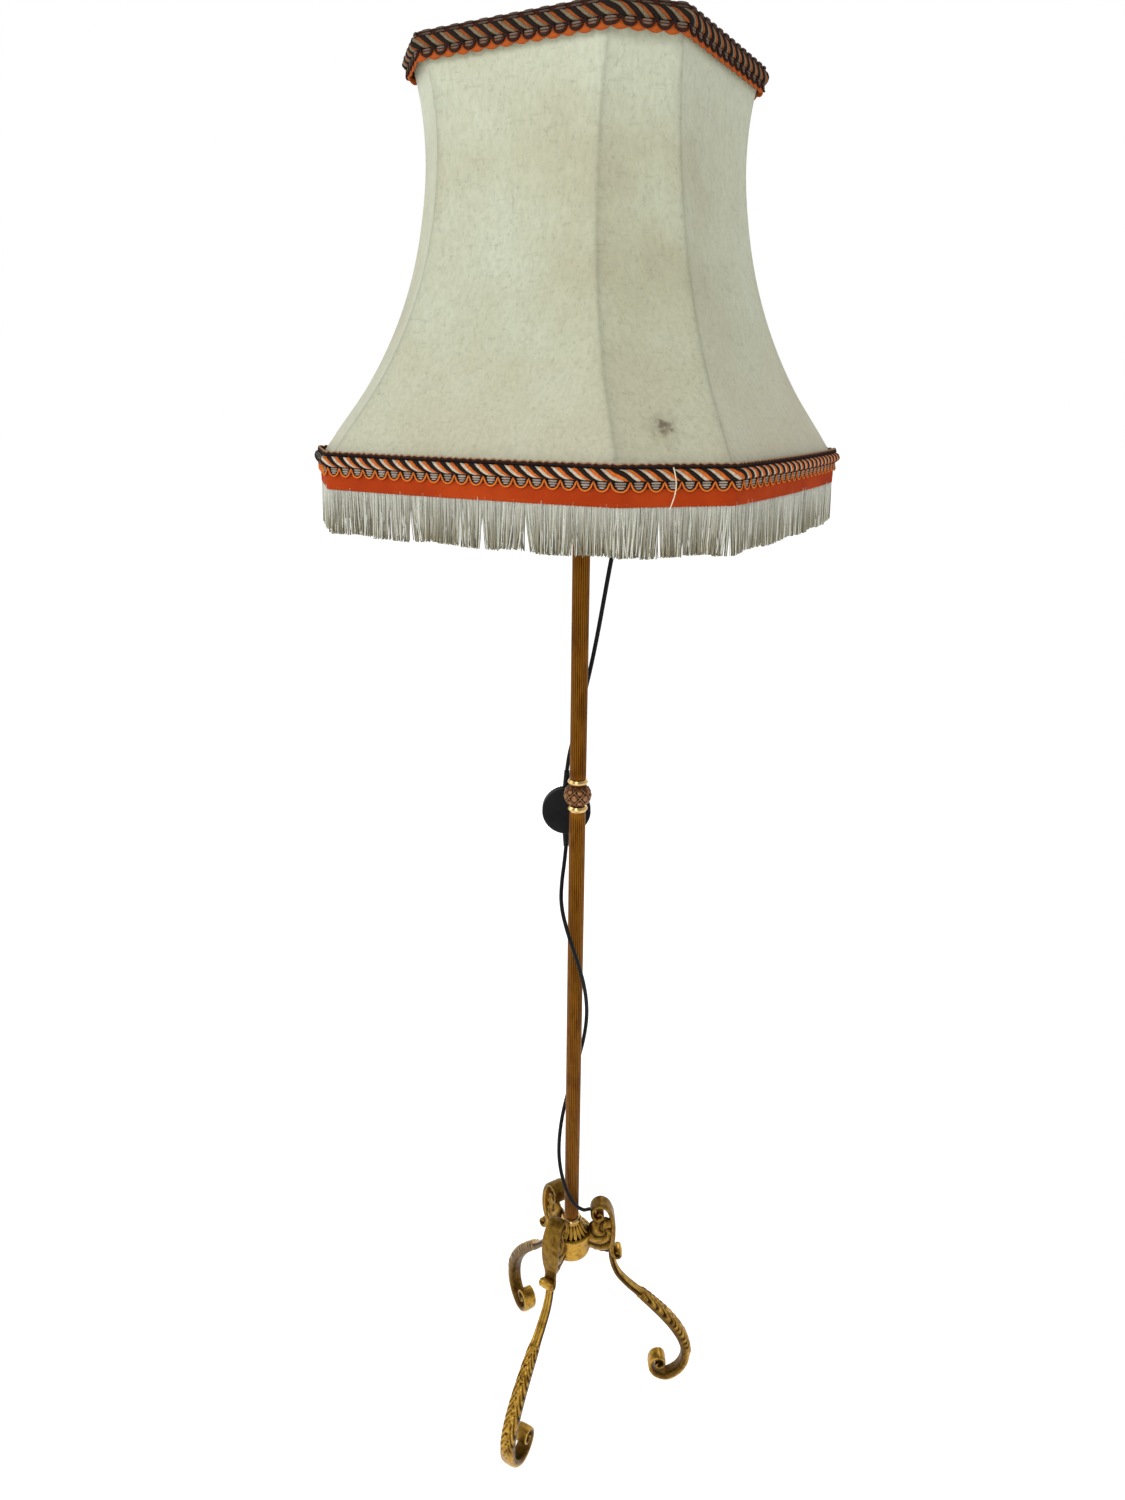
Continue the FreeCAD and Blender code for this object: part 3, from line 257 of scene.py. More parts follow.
def parchment(name, stain_at):
    """Thin pale green-cream parchment: cloudy, flecked, scratched, darker along the seams, one stain."""
    n = Nodes(name)
    cloud = n.noise(7, 8, 0.62)
    colour = n.ramp(cloud, [(0.32, (0.395, 0.385, 0.270)), (0.48, (0.450, 0.460, 0.335)),
                            (0.66, (0.490, 0.520, 0.400))])
    spot = n.add("ShaderNodeSeparateXYZ")
    n.link(n.place, spot.inputs[0])
    rise = n.math("ADD", spot.outputs["Z"], n.share(n.noise(5, 4), 0.16))
    colour = n.mix(n.ramp(n.math("SUBTRACT", rise, 0.9), [(0.50, (0.50,)), (0.64, (0,))]), colour,
                   (0.500, 0.455, 0.350))
    colour = n.mix(n.ramp(n.math("SUBTRACT", rise, 0.9), [(0.76, (0,)), (0.90, (0.55,))]), colour,
                   (0.510, 0.570, 0.475))
    mottle = n.noise(170, 6, 0.75, (1.3, 1.3, 0.7))
    flecks = n.noise(210, 3, 0.75, (1.4, 1.4, 0.8))
    streaks = n.noise(55, 4, 0.7, (1.0, 1.0, 3.6))
    for marks, start, full, strength, dark in (
            (mottle, 0.42, 0.72, 0.38, (0.25, 0.245, 0.175)),
            (flecks, 0.590, 0.645, 0.24, (0.15, 0.14, 0.10)),
            (streaks, 0.585, 0.635, 0.17, (0.20, 0.19, 0.135)),
            (n.tint("Alpha"), 0.0, 1.0, 0.30, (0.13, 0.13, 0.085))):
        colour = n.mix(n.share(n.ramp(marks, [(start, (0,)), (full, (1,))]), strength), colour, dark)
    offset = n.add("ShaderNodeVectorMath")
    offset.operation = "DISTANCE"
    n.link(n.place, offset.inputs[0])
    offset.inputs[1].default_value = stain_at
    spread = n.math("ADD", offset.outputs["Value"], n.share(n.noise(130, 5), 0.035))
    stain = n.ramp(n.share(spread, 20.0), [(0.40, (1,)), (0.52, (0.30,)), (0.74, (0,))])
    colour = n.mix(n.share(stain, 0.88), colour, (0.11, 0.085, 0.055))
    n.set(Base_Color=colour, Roughness=n.math("ADD", n.share(cloud, 0.2), 0.48),
          Subsurface_Weight=0.22, Subsurface_Scale=0.004, Specular_IOR_Level=0.35)
    n.shader.inputs["Subsurface Radius"].default_value = (1.0, 0.9, 0.6)
    wrinkle = n.math("ADD", n.share(n.noise(26, 5), 0.8), n.share(mottle, 0.25))
    n.bump(wrinkle, 0.0012, 0.7)
    return n.material


def painted(name, colour):
    """White coated wire, chipped to a darker undercoat in places."""
    n = Nodes(name)
    chips = n.ramp(n.noise(240, 4), [(0.62, (0,)), (0.70, (1,))])
    n.set(Base_Color=n.mix(chips, colour, (0.35, 0.30, 0.24)), Roughness=0.42)
    n.bump(n.noise(500, 3), 0.0001)
    return n.material


GOLD, GOLD_MID, GOLD_DARK = (0.58, 0.335, 0.055), (0.27, 0.135, 0.018), (0.022, 0.009, 0.003)
AMBER, AMBER_MID, AMBER_DARK = (0.220, 0.085, 0.008), (0.130, 0.044, 0.004), (0.012, 0.005, 0.001)
SHADE_LOW, SHADE_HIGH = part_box("wide_panels")

MATERIALS = {
    "cast_brass": brass("cast_brass", GOLD, GOLD_MID, GOLD_DARK, 0.29),
    "pole_brass": brass("pole_brass", AMBER, AMBER_MID, AMBER_DARK, 0.34, streak=(1, 1, 0.25)),
    "bright_brass": brass("bright_brass", (0.74, 0.50, 0.21), (0.60, 0.37, 0.13), (0.16, 0.08, 0.03), 0.22),
    "knop_brass": brass("knop_brass", (0.34, 0.165, 0.075), (0.21, 0.10, 0.045), (0.022, 0.010, 0.006), 0.38),
    "plain_brass": brass("plain_brass", GOLD, GOLD_MID, GOLD_DARK, 0.34, relief=False),
    "steel": steel("steel", (0.62, 0.61, 0.58), (0.36, 0.35, 0.34), 0.25),
    "frame_wire": painted("frame_wire", (0.70, 0.69, 0.63)),
    "holder_plastic": moulded("holder_plastic", (0.010, 0.010, 0.011), 0.25, gloss=0.5),
    "ceramic": moulded("ceramic", (0.62, 0.60, 0.54), 0.18, gloss=0.6),
    "bulb_glass": glass("bulb_glass"),
    "filament": steel("filament", (0.30, 0.29, 0.28), (0.14, 0.14, 0.14), 0.35),
    "parchment": parchment("parchment", (0.1715, -0.1760, 1.3735)),
    "braid": yarn("braid"),
    "ribbon": ribbon_weave("ribbon"),
    "fringe": yarn("fringe", 1400, 0.12),
    "cord": moulded("cord", (0.002, 0.002, 0.002), 0.42, 0.00003, 700, gloss=0.12),
    "tie": moulded("tie", (0.02, 0.02, 0.022), 0.75, 0.0004, 900),
    "black_plastic": moulded("black_plastic", (0.003, 0.003, 0.003), 0.48, gloss=0.14),
}


# ---------------------------------------------------------------- mesh building

def hermite(marks, values, at):
    """A smooth curve through values at rising marks, read at any number of places."""
    marks, values, at = (np.asarray(a, float) for a in (marks, values, at))
    slopes = np.gradient(values, marks, axis=0)
    low = np.clip(np.searchsorted(marks, at, side="right") - 1, 0, len(marks) - 2)
    width = marks[low + 1] - marks[low]
    t = (at - marks[low]) / width
    if values.ndim > 1:
        t, width = t[:, None], width[:, None]
    return ((2 * t ** 3 - 3 * t ** 2 + 1) * values[low] + (t ** 3 - 2 * t ** 2 + t) * width * slopes[low]
            + (3 * t ** 2 - 2 * t ** 3) * values[low + 1] + (t ** 3 - t ** 2) * width * slopes[low + 1])


class Soup:
    """Collects grids of points into one mesh, with a colour and a relief height (alpha) at each point."""

    def __init__(self):
        self.points, self.tints, self.faces, self.count = [], [], [], 0

    def grid(self, points, tint=(1, 1, 1, 1), loop=False, caps=True):
        """points[row][column]: each row is a closed ring; loop joins the last row to the first."""
        points = np.asarray(points, float)
        rows, columns = points.shape[:2]
        index = self.count + np.arange(rows * columns).reshape(rows, columns)
        right = np.roll(index, -1, axis=1)
        quads = np.stack([index, right, np.roll(right, -1, axis=0), np.roll(index, -1, axis=0)], -1)
        if not loop:
            quads = quads[:-1]
            if caps:
                self.faces += [index[0][::-1].tolist(), index[-1].tolist()]
        self.faces += quads.reshape(-1, 4).tolist()
        self.points.append(points.reshape(-1, 3))
        self.tints.append(np.broadcast_to(np.asarray(tint, float), (rows, columns, 4)).reshape(-1, 4))
        self.count += rows * columns

    def tube(self, centres, across, radius, tint=(1, 1, 1, 1), sides=7, loop=False, lit_side=None):
        """A round rod along centres; across is a direction that is never along the rod.
        Where lit_side gives a direction, the rod's side turned away from it is painted darker as shade, and
        the side towards it a little lighter as a painted highlight."""
        centres = np.asarray(centres, float)
        if loop:
            along = np.roll(centres, -1, axis=0) - np.roll(centres, 1, axis=0)
        else:
            along = np.gradient(centres, axis=0)
        along /= np.linalg.norm(along, axis=1)[:, None]
        across = np.broadcast_to(np.asarray(across, float), centres.shape)
        side = np.cross(along, across)
        side /= np.linalg.norm(side, axis=1)[:, None]
        out = np.cross(side, along)
        angle = np.linspace(0, 2 * math.pi, sides, endpoint=False)
        radius = np.broadcast_to(np.asarray(radius, float), len(centres))[:, None, None]
        spokes = np.cos(angle)[None, :, None] * out[:, None] + np.sin(angle)[None, :, None] * side[:, None]
        tint = np.asarray(tint, float)
        tint = tint[:, None] if tint.ndim == 2 else tint
        if lit_side is not None:
            # Painted shade and highlight: darker on the side away from lit_side, slightly lighter towards it.
            toward_light = np.einsum("ijk,ik->ij", spokes, np.broadcast_to(lit_side, centres.shape))
            shade = np.clip(0.62 + 0.62 * toward_light, 0.10, 1.08)
            tint = tint * np.stack([shade, shade, shade, np.ones_like(shade)], -1)
        self.grid(centres[:, None] + radius * spokes, tint, loop)

    def join(self, other):
        """Takes in everything that another soup has gathered."""
        self.points += other.points
        self.tints += other.tints
        self.faces += [[i + self.count for i in face] for face in other.faces]
        self.count += other.count

    def moved(self, matrix):
        """Moves everything gathered so far by a matrix."""
        block = np.array(matrix)
        self.points = [points @ block[:3, :3].T + block[:3, 3] for points in self.points]
        return self

    def piece(self, name, body, material, replaces, slot=None):
        """Makes the visual piece that stands for some CAD nodes, in its material. The slot argument is not
        used.
        """
        mesh = bpy.data.meshes.new(name)
        mesh.from_pydata(np.concatenate(self.points).tolist(), [], self.faces)
        tint = mesh.color_attributes.new("tint", "FLOAT_COLOR", "POINT")
        tint.data.foreach_set("color", np.concatenate(self.tints).astype(np.float32).ravel())
        work = bmesh.new()
        work.from_mesh(mesh)
        bmesh.ops.recalc_face_normals(work, faces=work.faces)
        work.to_mesh(mesh)
        work.free()
        mesh.polygons.foreach_set("use_smooth", [True] * len(mesh.polygons))
        thing = bpy.data.objects.new(name, mesh)
        scene.collection.objects.link(thing)
        mesh.materials.append(MATERIALS[material])
        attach(thing, body)
        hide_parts(*replaces)
        return thing


def tint_grid(colour, relief):
    """A grid of tints of one colour whose alpha is the relief height."""
    relief = np.clip(relief, 0, 1)
    return np.concatenate([np.broadcast_to(np.asarray(colour, float), relief.shape + (3,)),
                           relief[..., None]], axis=-1)


def lathe(soup, profile, segments=96, relief=None, depth=0.0, closed=True):
    """Turns (radius, height) points in mm about the axis. relief(angle, share) pushes the surface out."""
    profile = np.asarray(profile, float) * MM
    angle = np.linspace(0, 2 * math.pi, segments, endpoint=False)
    share = np.linspace(0, 1, len(profile))
    raised = np.zeros((len(profile), segments)) if relief is None else relief(angle[None, :], share[:, None])
    radius = profile[:, 0][:, None] + raised * depth
    points = np.stack([radius * np.cos(angle), radius * np.sin(angle),
                       np.broadcast_to(profile[:, 1][:, None], radius.shape)], -1)
    tint = (1, 1, 1, 1) if relief is None else tint_grid((1, 1, 1), raised)
    soup.grid(points, tint, caps=closed)


def smooth_profile(points, steps, base=0.0):
    """A smooth curve through (radius, height above the base) points, sampled evenly by their length."""
    points = np.asarray(points, float) + (0, base)
    marks = np.concatenate([[0], np.cumsum(np.linalg.norm(np.diff(points, axis=0), axis=1))])
    return hermite(marks, points, np.linspace(0, marks[-1], steps))


# ---------------------------------------------------------------- cord, in its two lengths

CORD_RADIUS = 0.0025
UPPER_ROUTE = [
    (0.0290, 0.0157, 1.4900), (0.0439, 0.0239, 1.4890), (0.0585, 0.0306, 1.4790),
    (0.0669, 0.0340, 1.4600), (0.0682, 0.0336, 1.4340), (0.0634, 0.0299, 1.3940),
    (0.0546, 0.0251, 1.3450), (0.0427, 0.0198, 1.2920), (0.0317, 0.0161, 1.2400),
    (0.0227, 0.0158, 1.1880), (0.0133, 0.0175, 1.1380), (0.0034, 0.0189, 1.0920),
    (-0.0068, 0.0168, 1.0460), (-0.0169, 0.0164, 1.0040), (-0.0233, 0.0186, 0.9820),
    (-0.0256, 0.0191, 0.9641),
]
LOWER_ROUTE = [
    (-0.0256, 0.0191, 0.8639), (-0.0265, 0.0174, 0.8430), (-0.0244, 0.0061, 0.8180),
    (-0.0153, -0.0117, 0.7960), (-0.0007, -0.0197, 0.7650), (0.0119, -0.0146, 0.7240),
    (0.0174, -0.0037, 0.6810), (0.0140, 0.0099, 0.6330), (0.0036, 0.0185, 0.5810),
    (-0.0088, 0.0163, 0.5300), (-0.0175, 0.0070, 0.4820), (-0.0170, -0.0081, 0.4400),
    (-0.0110, -0.0174, 0.4030), (0.0018, -0.0201, 0.3660), (0.0137, -0.0148, 0.3420),
    (0.0191, -0.0016, 0.3260), (0.0168, 0.0122, 0.3140), (0.0180, 0.0322, 0.3010),
    (0.0084, 0.0566, 0.2680), (-0.0077, 0.0889, 0.2120), (-0.0264, 0.1196, 0.1530),
    (-0.0468, 0.1473, 0.0980), (-0.0680, 0.1723, 0.0550), (-0.0865, 0.1942, 0.0250),
    (-0.0982, 0.2173, 0.0080), (-0.1044, 0.2437, 0.0033),
]
TAIL_ROUTE = [
    (-0.1066, 0.2425, 0.0082), (-0.1175, 0.2560, 0.0088), (-0.1345, 0.2633, 0.0108),
    (-0.1498, 0.2586, 0.0136), (-0.1592, 0.2457, 0.0164), (-0.1589, 0.2297, 0.0182),
]
COIL_AT = (-0.1330, 0.2282)
COIL_START = math.radians(28.5)
POINTS_PER_TURN = 16


def coil_points():
    """Two turns inwards on the floor, half a turn up the inside and a turn and a half outwards on top."""
    points = []
    outer, inner, low, high = 0.0325, 0.0225, 0.0033, 0.0083
    for step in range(1, 4 * POINTS_PER_TURN):
        turns = step / POINTS_PER_TURN
        if turns <= 2:
            radius, height = outer - (outer - inner) * turns / 2, low
        elif turns <= 2.5:
            radius, height = inner, low + (high - low) * (turns - 2) * 2
        else:
            radius, height = inner + 0.005 * (turns - 2.5), high
        angle = COIL_START + turns * 2 * math.pi
        points.append((COIL_AT[0] + radius * math.cos(angle), COIL_AT[1] + radius * math.sin(angle), height))
    return points


def cord_curve(name, points, replaces):
    """A round flex along a smooth curve whose control points are the route's."""
    data = bpy.data.curves.new(name, "CURVE")
    data.dimensions = "3D"
    spline = data.splines.new("NURBS")
    spline.points.add(len(points) - 1)
    for control, point in zip(spline.points, points):
        control.co = (*point, 1)
    spline.order_u = 3
    spline.use_endpoint_u = True
    spline.resolution_u = 8
    data.bevel_depth = CORD_RADIUS
    data.bevel_resolution = 4
    data.use_fill_caps = True
    data.materials.append(MATERIALS["cord"])
    flex = bpy.data.objects.new(name, data)
    scene.collection.objects.link(flex)
    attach(flex, "stand")
    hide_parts(*replaces)
    return flex


cord_to_switch = cord_curve("cord_to_switch", UPPER_ROUTE, ["cord_upper"])
cord_to_plug = cord_curve("cord_to_plug", LOWER_ROUTE + coil_points() + TAIL_ROUTE,
                          ["cord_lower", "cord_coil", "cord_tail"])


# ---------------------------------------------------------------- foot switch, plug and tie

SWITCH_AT = Vector((-0.0256, 0.0191, 0.914))
SCREW_CIRCLE = 0.020
LEAD_TURN = Matrix.Rotation(COIL_START, 4, "Z")
SWITCH_FRAME = Matrix.Translation(SWITCH_AT) @ LEAD_TURN @ Matrix.Rotation(-math.pi / 2, 4, "X")
PLUG_FRAME = Matrix.Translation(Vector(TAIL_ROUTE[-1])) @ LEAD_TURN


def ribs(count, low, high):
    """Relief of straight ribs round the axis between two shares of a profile."""
    def relief(angle, share):
        wave = np.clip(np.cos(angle * count) * 2, 0, 1)
        return wave * ((share >= low) & (share <= high))
    return relief


def make_switch():
    """A round foot switch: a back plate with three screw heads, a dome with a ribbed rim, and a button."""
    plate, dome, button = Soup(), Soup(), Soup()
    lathe(plate, [(0.01, -10.6), (9, -10.6), (9.6, -10.9), (25.4, -10.9), (26.2, -11), (28.4, -10.8),
                  (29.5, -10), (29.9, -8.8), (29.9, -4.4), (29.4, -4.05), (0.01, -4.05)], 128)
    for azimuth in (30, 150, 270):
        head = Soup()
        lathe(head, [(0.01, -10.3), (1.2, -10.3), (2.6, -10.75), (2.9, -11.15), (3.4, -11.2), (3.6, -10.8),
                     (3.6, -9)], 28)
        angle = math.radians(azimuth)
        spot = (SCREW_CIRCLE * math.cos(angle), SCREW_CIRCLE * math.sin(angle), 0)
        plate.join(head.moved(Matrix.Translation(spot)))
    plate.moved(SWITCH_FRAME).piece("switch_back_plate", "stand", "black_plastic", ["switch_base"])
    profile = [(29.0, -3.9), (29.9, -3.5), (30, 1.6), (29.3, 2.9), (27.4, 5.4), (24.0, 7.6), (20, 9.1),
               (14.5, 10.0), (12.2, 10.2), (10.9, 9.8), (10.6, 9.2), (10.6, 8.2), (13, 8.1), (19, 7.3),
               (25.4, 4.4), (27.8, 1.4), (27.8, -3.9)]
    around = 180
    lathe(dome, profile, around, ribs(60, 1.5 / 16, 3.2 / 16), -0.0006, closed=False)
    last = (len(profile) - 1) * around
    dome.faces += [[i, (i + 1) % around, last + (i + 1) % around, last + i] for i in range(around)]
    dome.moved(SWITCH_FRAME).piece("switch_cover", "stand", "black_plastic", ["switch_dome"])
    lathe(button, [(0.01, 2.4), (12.0, 2.4), (12.0, 4.2), (10.0, 4.4), (9.95, 11.2), (9.4, 12.4), (8.4, 13.1),
                   (6.2, 13.4), (5.9, 13.1), (4.0, 13.1), (3.7, 13.4), (0.01, 13.4)], 96)
    button.moved(SWITCH_FRAME).piece("switch_push_button", "button", "black_plastic", ["switch_button"])


def make_reliefs():
    """Ringed rubber sleeves where the two lengths of cord enter the switch."""
    for direction, name in ((-1, "switch_sleeve_upper"), (1, "switch_sleeve_lower")):
        one = Soup()
        steps = np.linspace(0, 1, 43)
        rings = 0.45 * (np.sin(steps * 2 * math.pi * 7) > 0)
        lathe(one, list(zip(5.0 - 1.6 * steps - rings, 30.05 + 20 * steps)), 32)
        tilt = Matrix.Rotation(-math.pi / 2 * direction, 4, "X")
        one.moved(SWITCH_FRAME @ tilt).piece(name, "stand", "black_plastic", ["switch_reliefs"])


def rounded(sides, power):
    """Cosine and sine round a circle, pushed out towards the corners of a square by a power below 1."""
    angle = np.linspace(0, 2 * math.pi, sides, endpoint=False)
    return tuple(np.sign(wave) * np.abs(wave) ** power for wave in (np.cos(angle), np.sin(angle)))


def slab_rings(sections, sides, power, middle=(0.0, 0.0)):
    """Rings of a rounded slab along Y, in mm: each section is (y, half width, half height)."""
    across, up = rounded(sides, power)
    return MM * np.array([np.stack([middle[0] + half_width * across, np.full(sides, float(y)),
                                    middle[1] + half_height * up], -1)
                          for y, half_width, half_height in sections])


def make_plug():
    """A flat two-pin plug with finger ridges, its pins and its sleeve."""
    body = Soup()
    sections = [(20, 3.0, 3.0), (20.2, 5.2, 5.2), (21, 5.9, 6.0), (27, 6.4, 6.6), (31, 8.0, 6.9),
                (36, 11.6, 7.0), (41, 14.4, 6.9), (46, 15.3, 6.8), (51, 14.2, 6.5), (54.2, 12.9, 6.0),
                (54.9, 12.2, 5.2), (55, 10, 3.5)]
    marks, shapes = np.array(sections)[:, 0], np.array(sections)[:, 1:]
    fine = np.linspace(20, 55, 71)
    shape = hermite(marks, shapes, fine)
    ridges = 0.35 * (np.sin(fine * 2.6) > 0.3) * ((fine > 24) & (fine < 34))
    body.grid(slab_rings([(-y, w - r, h - r) for y, (w, h), r in zip(fine, shape, ridges)], 48, 0.45))
    body.moved(PLUG_FRAME).piece("plug_shell", "stand", "black_plastic", ["plug_body"])
    pins = Soup()
    y = np.array([-55.0, -56, -65, -65.2, -72, -73.4, -74])
    radius = np.array([2, 2, 2, 1.75, 1.75, 1.2, 0.4])
    for x in (-9.5, 9.5):
        centres = np.stack([np.full(len(y), x), y, np.zeros(len(y))], -1) * MM
        pins.tube(centres, (0, 0, 1), radius * MM, sides=20)
    pins.moved(PLUG_FRAME).piece("plug_contact_pins", "stand", "steel", ["plug_pins"])
    sleeve = Soup()
    steps = np.linspace(0, 1, 43)
    radius = 3.4 + 1.6 * steps - 0.4 * (np.sin(steps * 2 * math.pi * 7) > 0)
    centres = np.stack([0 * steps, -20 * steps, 0 * steps], -1) * MM
    sleeve.tube(centres, (0, 0, 1), radius * MM, sides=24)
    sleeve.moved(PLUG_FRAME).piece("plug_sleeve", "stand", "black_plastic", ["plug_relief"])


def make_tie():
    """A soft band round the coil's turns on one side."""
    inner, outer = (8.4, 5.2), (9.1, 5.9)
    sections = [(-4, *inner), (-4, *outer), (4, *outer), (4, *inner)]
    tie = Soup()
    tie.grid(slab_rings(sections, 40, 0.4, middle=(27.5, 5.9)), loop=True)
    spot = Matrix.Translation((COIL_AT[0], COIL_AT[1], 0)) @ Matrix.Rotation(math.radians(-60), 4, "Z")
    tie.moved(spot).piece("coil_band", "stand", "tie", ["coil_tie"])


make_switch()
make_reliefs()
make_plug()
make_tie()


# ---------------------------------------------------------------- shade

# distance of a wide side from the axis at shares of the height, as a share of the bottom's
BELL = [(0.0, 1.0), (0.070, 0.937), (0.18, 0.836), (0.32, 0.736), (0.46, 0.664), (0.62, 0.612),
        (0.78, 0.587), (0.93, 0.597), (1.0, 0.615)]
BOTTOM_HALF, BOTTOM_CUT, TOP_CUT = 0.2285, 0.0736, 0.0442
BOW = 0.006
SKIN = 0.0008
CORNER_ROUND = 0.0035


def bell_at(share):
    """Half width, corner cut and bow of the shade at a share of its height."""
    marks, sizes = zip(*BELL)
    half = BOTTOM_HALF * float(hermite(marks, sizes, np.array([share]))[0])
    return half, BOTTOM_CUT + (TOP_CUT - BOTTOM_CUT) * share, BOW * (1 - share) ** 2 + 0.0003


def ring(share, outset=0.0, wide=22, narrow=8, turn=5):
    """The shade's outline at one level as (x, y) points, with each one's distance to the nearest corner."""
    half, cut, bow = bell_at(share)
    far = half + outset
    near = half - cut + outset * (math.sqrt(2) - 1)
    corners = np.array([(-near, -far), (near, -far), (far, -near), (far, near),
                        (near, far), (-near, far), (-far, near), (-far, -near)])

    def side_point(side, t):
        start, end = corners[side % 8], corners[(side + 1) % 8]
        outward = (start + end) / np.linalg.norm(start + end)
        return start + (end - start) * t + outward * 4 * t * (1 - t) * (bow if side % 2 == 0 else 0)

    points, gaps = [], []
    for side in range(8):
        length = np.linalg.norm(corners[(side + 1) % 8] - corners[side])
        edge = CORNER_ROUND / length
        count = wide if side % 2 == 0 else narrow
        even = np.linspace(0, 1, count)
        eased = edge + (1 - 2 * edge) * (0.72 * even + 0.28 * (3 * even ** 2 - 2 * even ** 3))
        for t in eased:
            points.append(side_point(side, t))
            gaps.append(min(t, 1 - t) * length)
        start, end = side_point(side, 1 - edge), side_point(side + 1, CORNER_ROUND / np.linalg.norm(
            corners[(side + 2) % 8] - corners[(side + 1) % 8]))
        corner = corners[(side + 1) % 8]
        for t in np.linspace(0, 1, turn + 2)[1:-1]:
            points.append(start * (1 - t) ** 2 + corner * 2 * t * (1 - t) + end * t ** 2)
            gaps.append(CORNER_ROUND * abs(1 - 2 * t))
    return np.array(points), np.array(gaps)


def level(share):
    return SHADE_LOW.z + (SHADE_HIGH.z - SHADE_LOW.z) * share


def make_skin():
    """Parchment stretched over the ribs: one closed shell with a fine seam at each rib."""
    rows = 60
    shell = Soup()
    rings, tints = [], []
    order = [(share, 0.0) for share in np.linspace(0, 1, rows)]
    order += [(share, -SKIN) for share in np.linspace(1, 0, rows)]
    for share, outset in order:
        points, gaps = ring(share, outset)
        seam = np.exp(-(gaps / 0.0022) ** 2)
        middle = np.linalg.norm(points, axis=1)[:, None]
        points = points * (1 + 0.0005 * seam[:, None] / middle)
        rings.append(np.column_stack([points, np.full(len(points), level(share))]))
        tints.append(tint_grid((1, 1, 1), np.exp(-(gaps / 0.0026) ** 1.4)))
    shell.grid(np.array(rings), np.array(tints), loop=True)
    return shell.piece("shade_skin", "shade", "parchment", ["wide_panels", "narrow_panels"])


skin = make_skin()


class Track:
    """A closed path round the shade at one level, read by the distance along it."""

    def __init__(self, share, outset):
        points, _ = ring(share, outset, wide=30, narrow=12, turn=6)
        closed = np.vstack([points, points[:1]])
        steps = np.diff(closed, axis=0)
        lengths = np.linalg.norm(steps, axis=1)
        self.marks = np.concatenate([[0], np.cumsum(lengths)])
        self.points = closed
        directions = steps / lengths[:, None]
        tangents = directions + np.roll(directions, 1, axis=0)
        tangents = np.vstack([tangents, tangents[:1]])
        self.normals = np.column_stack([tangents[:, 1], -tangents[:, 0]])
        self.length = self.marks[-1]

    def at(self, distance, out, height):
        """Points at distances along the path, out from it and at heights, all in metres."""
        distance = np.mod(np.asarray(distance, float), self.length)
        place = np.column_stack([np.interp(distance, self.marks, self.points[:, i]) for i in (0, 1)])
        normal = self.normal(distance)[:, :2]
        out, height = (np.broadcast_to(np.asarray(v, float), distance.shape) for v in (out, height))
        return np.column_stack([place + normal * out[:, None], height])

    def normal(self, distance):
        distance = np.mod(np.asarray(distance, float), self.length)
        normal = np.column_stack([np.interp(distance, self.marks, self.normals[:, i]) for i in (0, 1)])
        normal /= np.linalg.norm(normal, axis=1)[:, None]
        return np.column_stack([normal, np.zeros(len(normal))])

    def even(self, step):
        count = int(round(self.length / step))
        return np.linspace(0, self.length, count, endpoint=False)


def band(soup, track, low, high, inside, outside, step, tint, wave=None, rows=2):
    """A flat band round the track. wave(distance) lowers the bottom edge."""
    distance = track.even(step)
    drop = 0 if wave is None else wave(distance)
    loops = []
    for out, order in ((inside, 1), (outside, -1)):
        shares = np.linspace(0, 1, rows)[::order]
        for share in shares:
            height = low + (high - low) * share - drop * (1 - share)
            ribbing = 0.00012 * (1 if round(share * (rows - 1)) % 2 else -1) if rows > 2 else 0
            loops.append(track.at(distance, out + (ribbing if out == outside else 0), height))
    soup.grid(np.array(loops), tint, loop=True)


PITCH_LENGTH = 0.015    # one repeat of the trim's pattern


def repeats_round(track):
    """How many repeats of the trim go round the shade: even, so that a twist of two strands meets itself."""
    return 2 * round(track.length / PITCH_LENGTH / 2)


GREY, CREAM, ORANGE = (0.30, 0.25, 0.21), (0.48, 0.41, 0.31), (0.50, 0.110, 0.014)
BLACK, BROWN, TAN = (0.010, 0.007, 0.007), (0.045, 0.014, 0.010), (0.36, 0.22, 0.12)
RUST = (0.50, 0.085, 0.020)
TWIST_RADIUS, TWIST_FLATNESS = 0.0029, 0.62
PLY_RADIUS, STRANDS = 0.0021, 2


def twist(soup, track, out, height, colours):
    """A thick flattened cord laid up of coloured plies, one whole pattern to each repeat of the trim."""
    turns = repeats_round(track) // STRANDS
    distance = track.even(0.0016)
    for strand in range(STRANDS):
        for place, (colour, thickness) in enumerate(colours):
            angle = -2 * math.pi * (turns * distance / track.length
                                    - (strand + place / len(colours)) / STRANDS)
            centres = track.at(distance, out + TWIST_FLATNESS * TWIST_RADIUS * np.cos(angle),
                               height + TWIST_RADIUS * np.sin(angle))
            shade = 0.85 + 0.3 * rng.random(len(distance))
            tints = np.column_stack([np.outer(shade, colour), np.ones(len(distance))])
            # Painted shade: each ply is darker on its side towards the twist's core, lighter on its outer
            # side.
            lit_side = track.normal(distance) * np.cos(angle)[:, None] + np.outer(np.sin(angle), (0, 0, 1))
            soup.tube(centres, track.normal(distance), PLY_RADIUS * thickness, tints, sides=9, loop=True,
                      lit_side=lit_side)


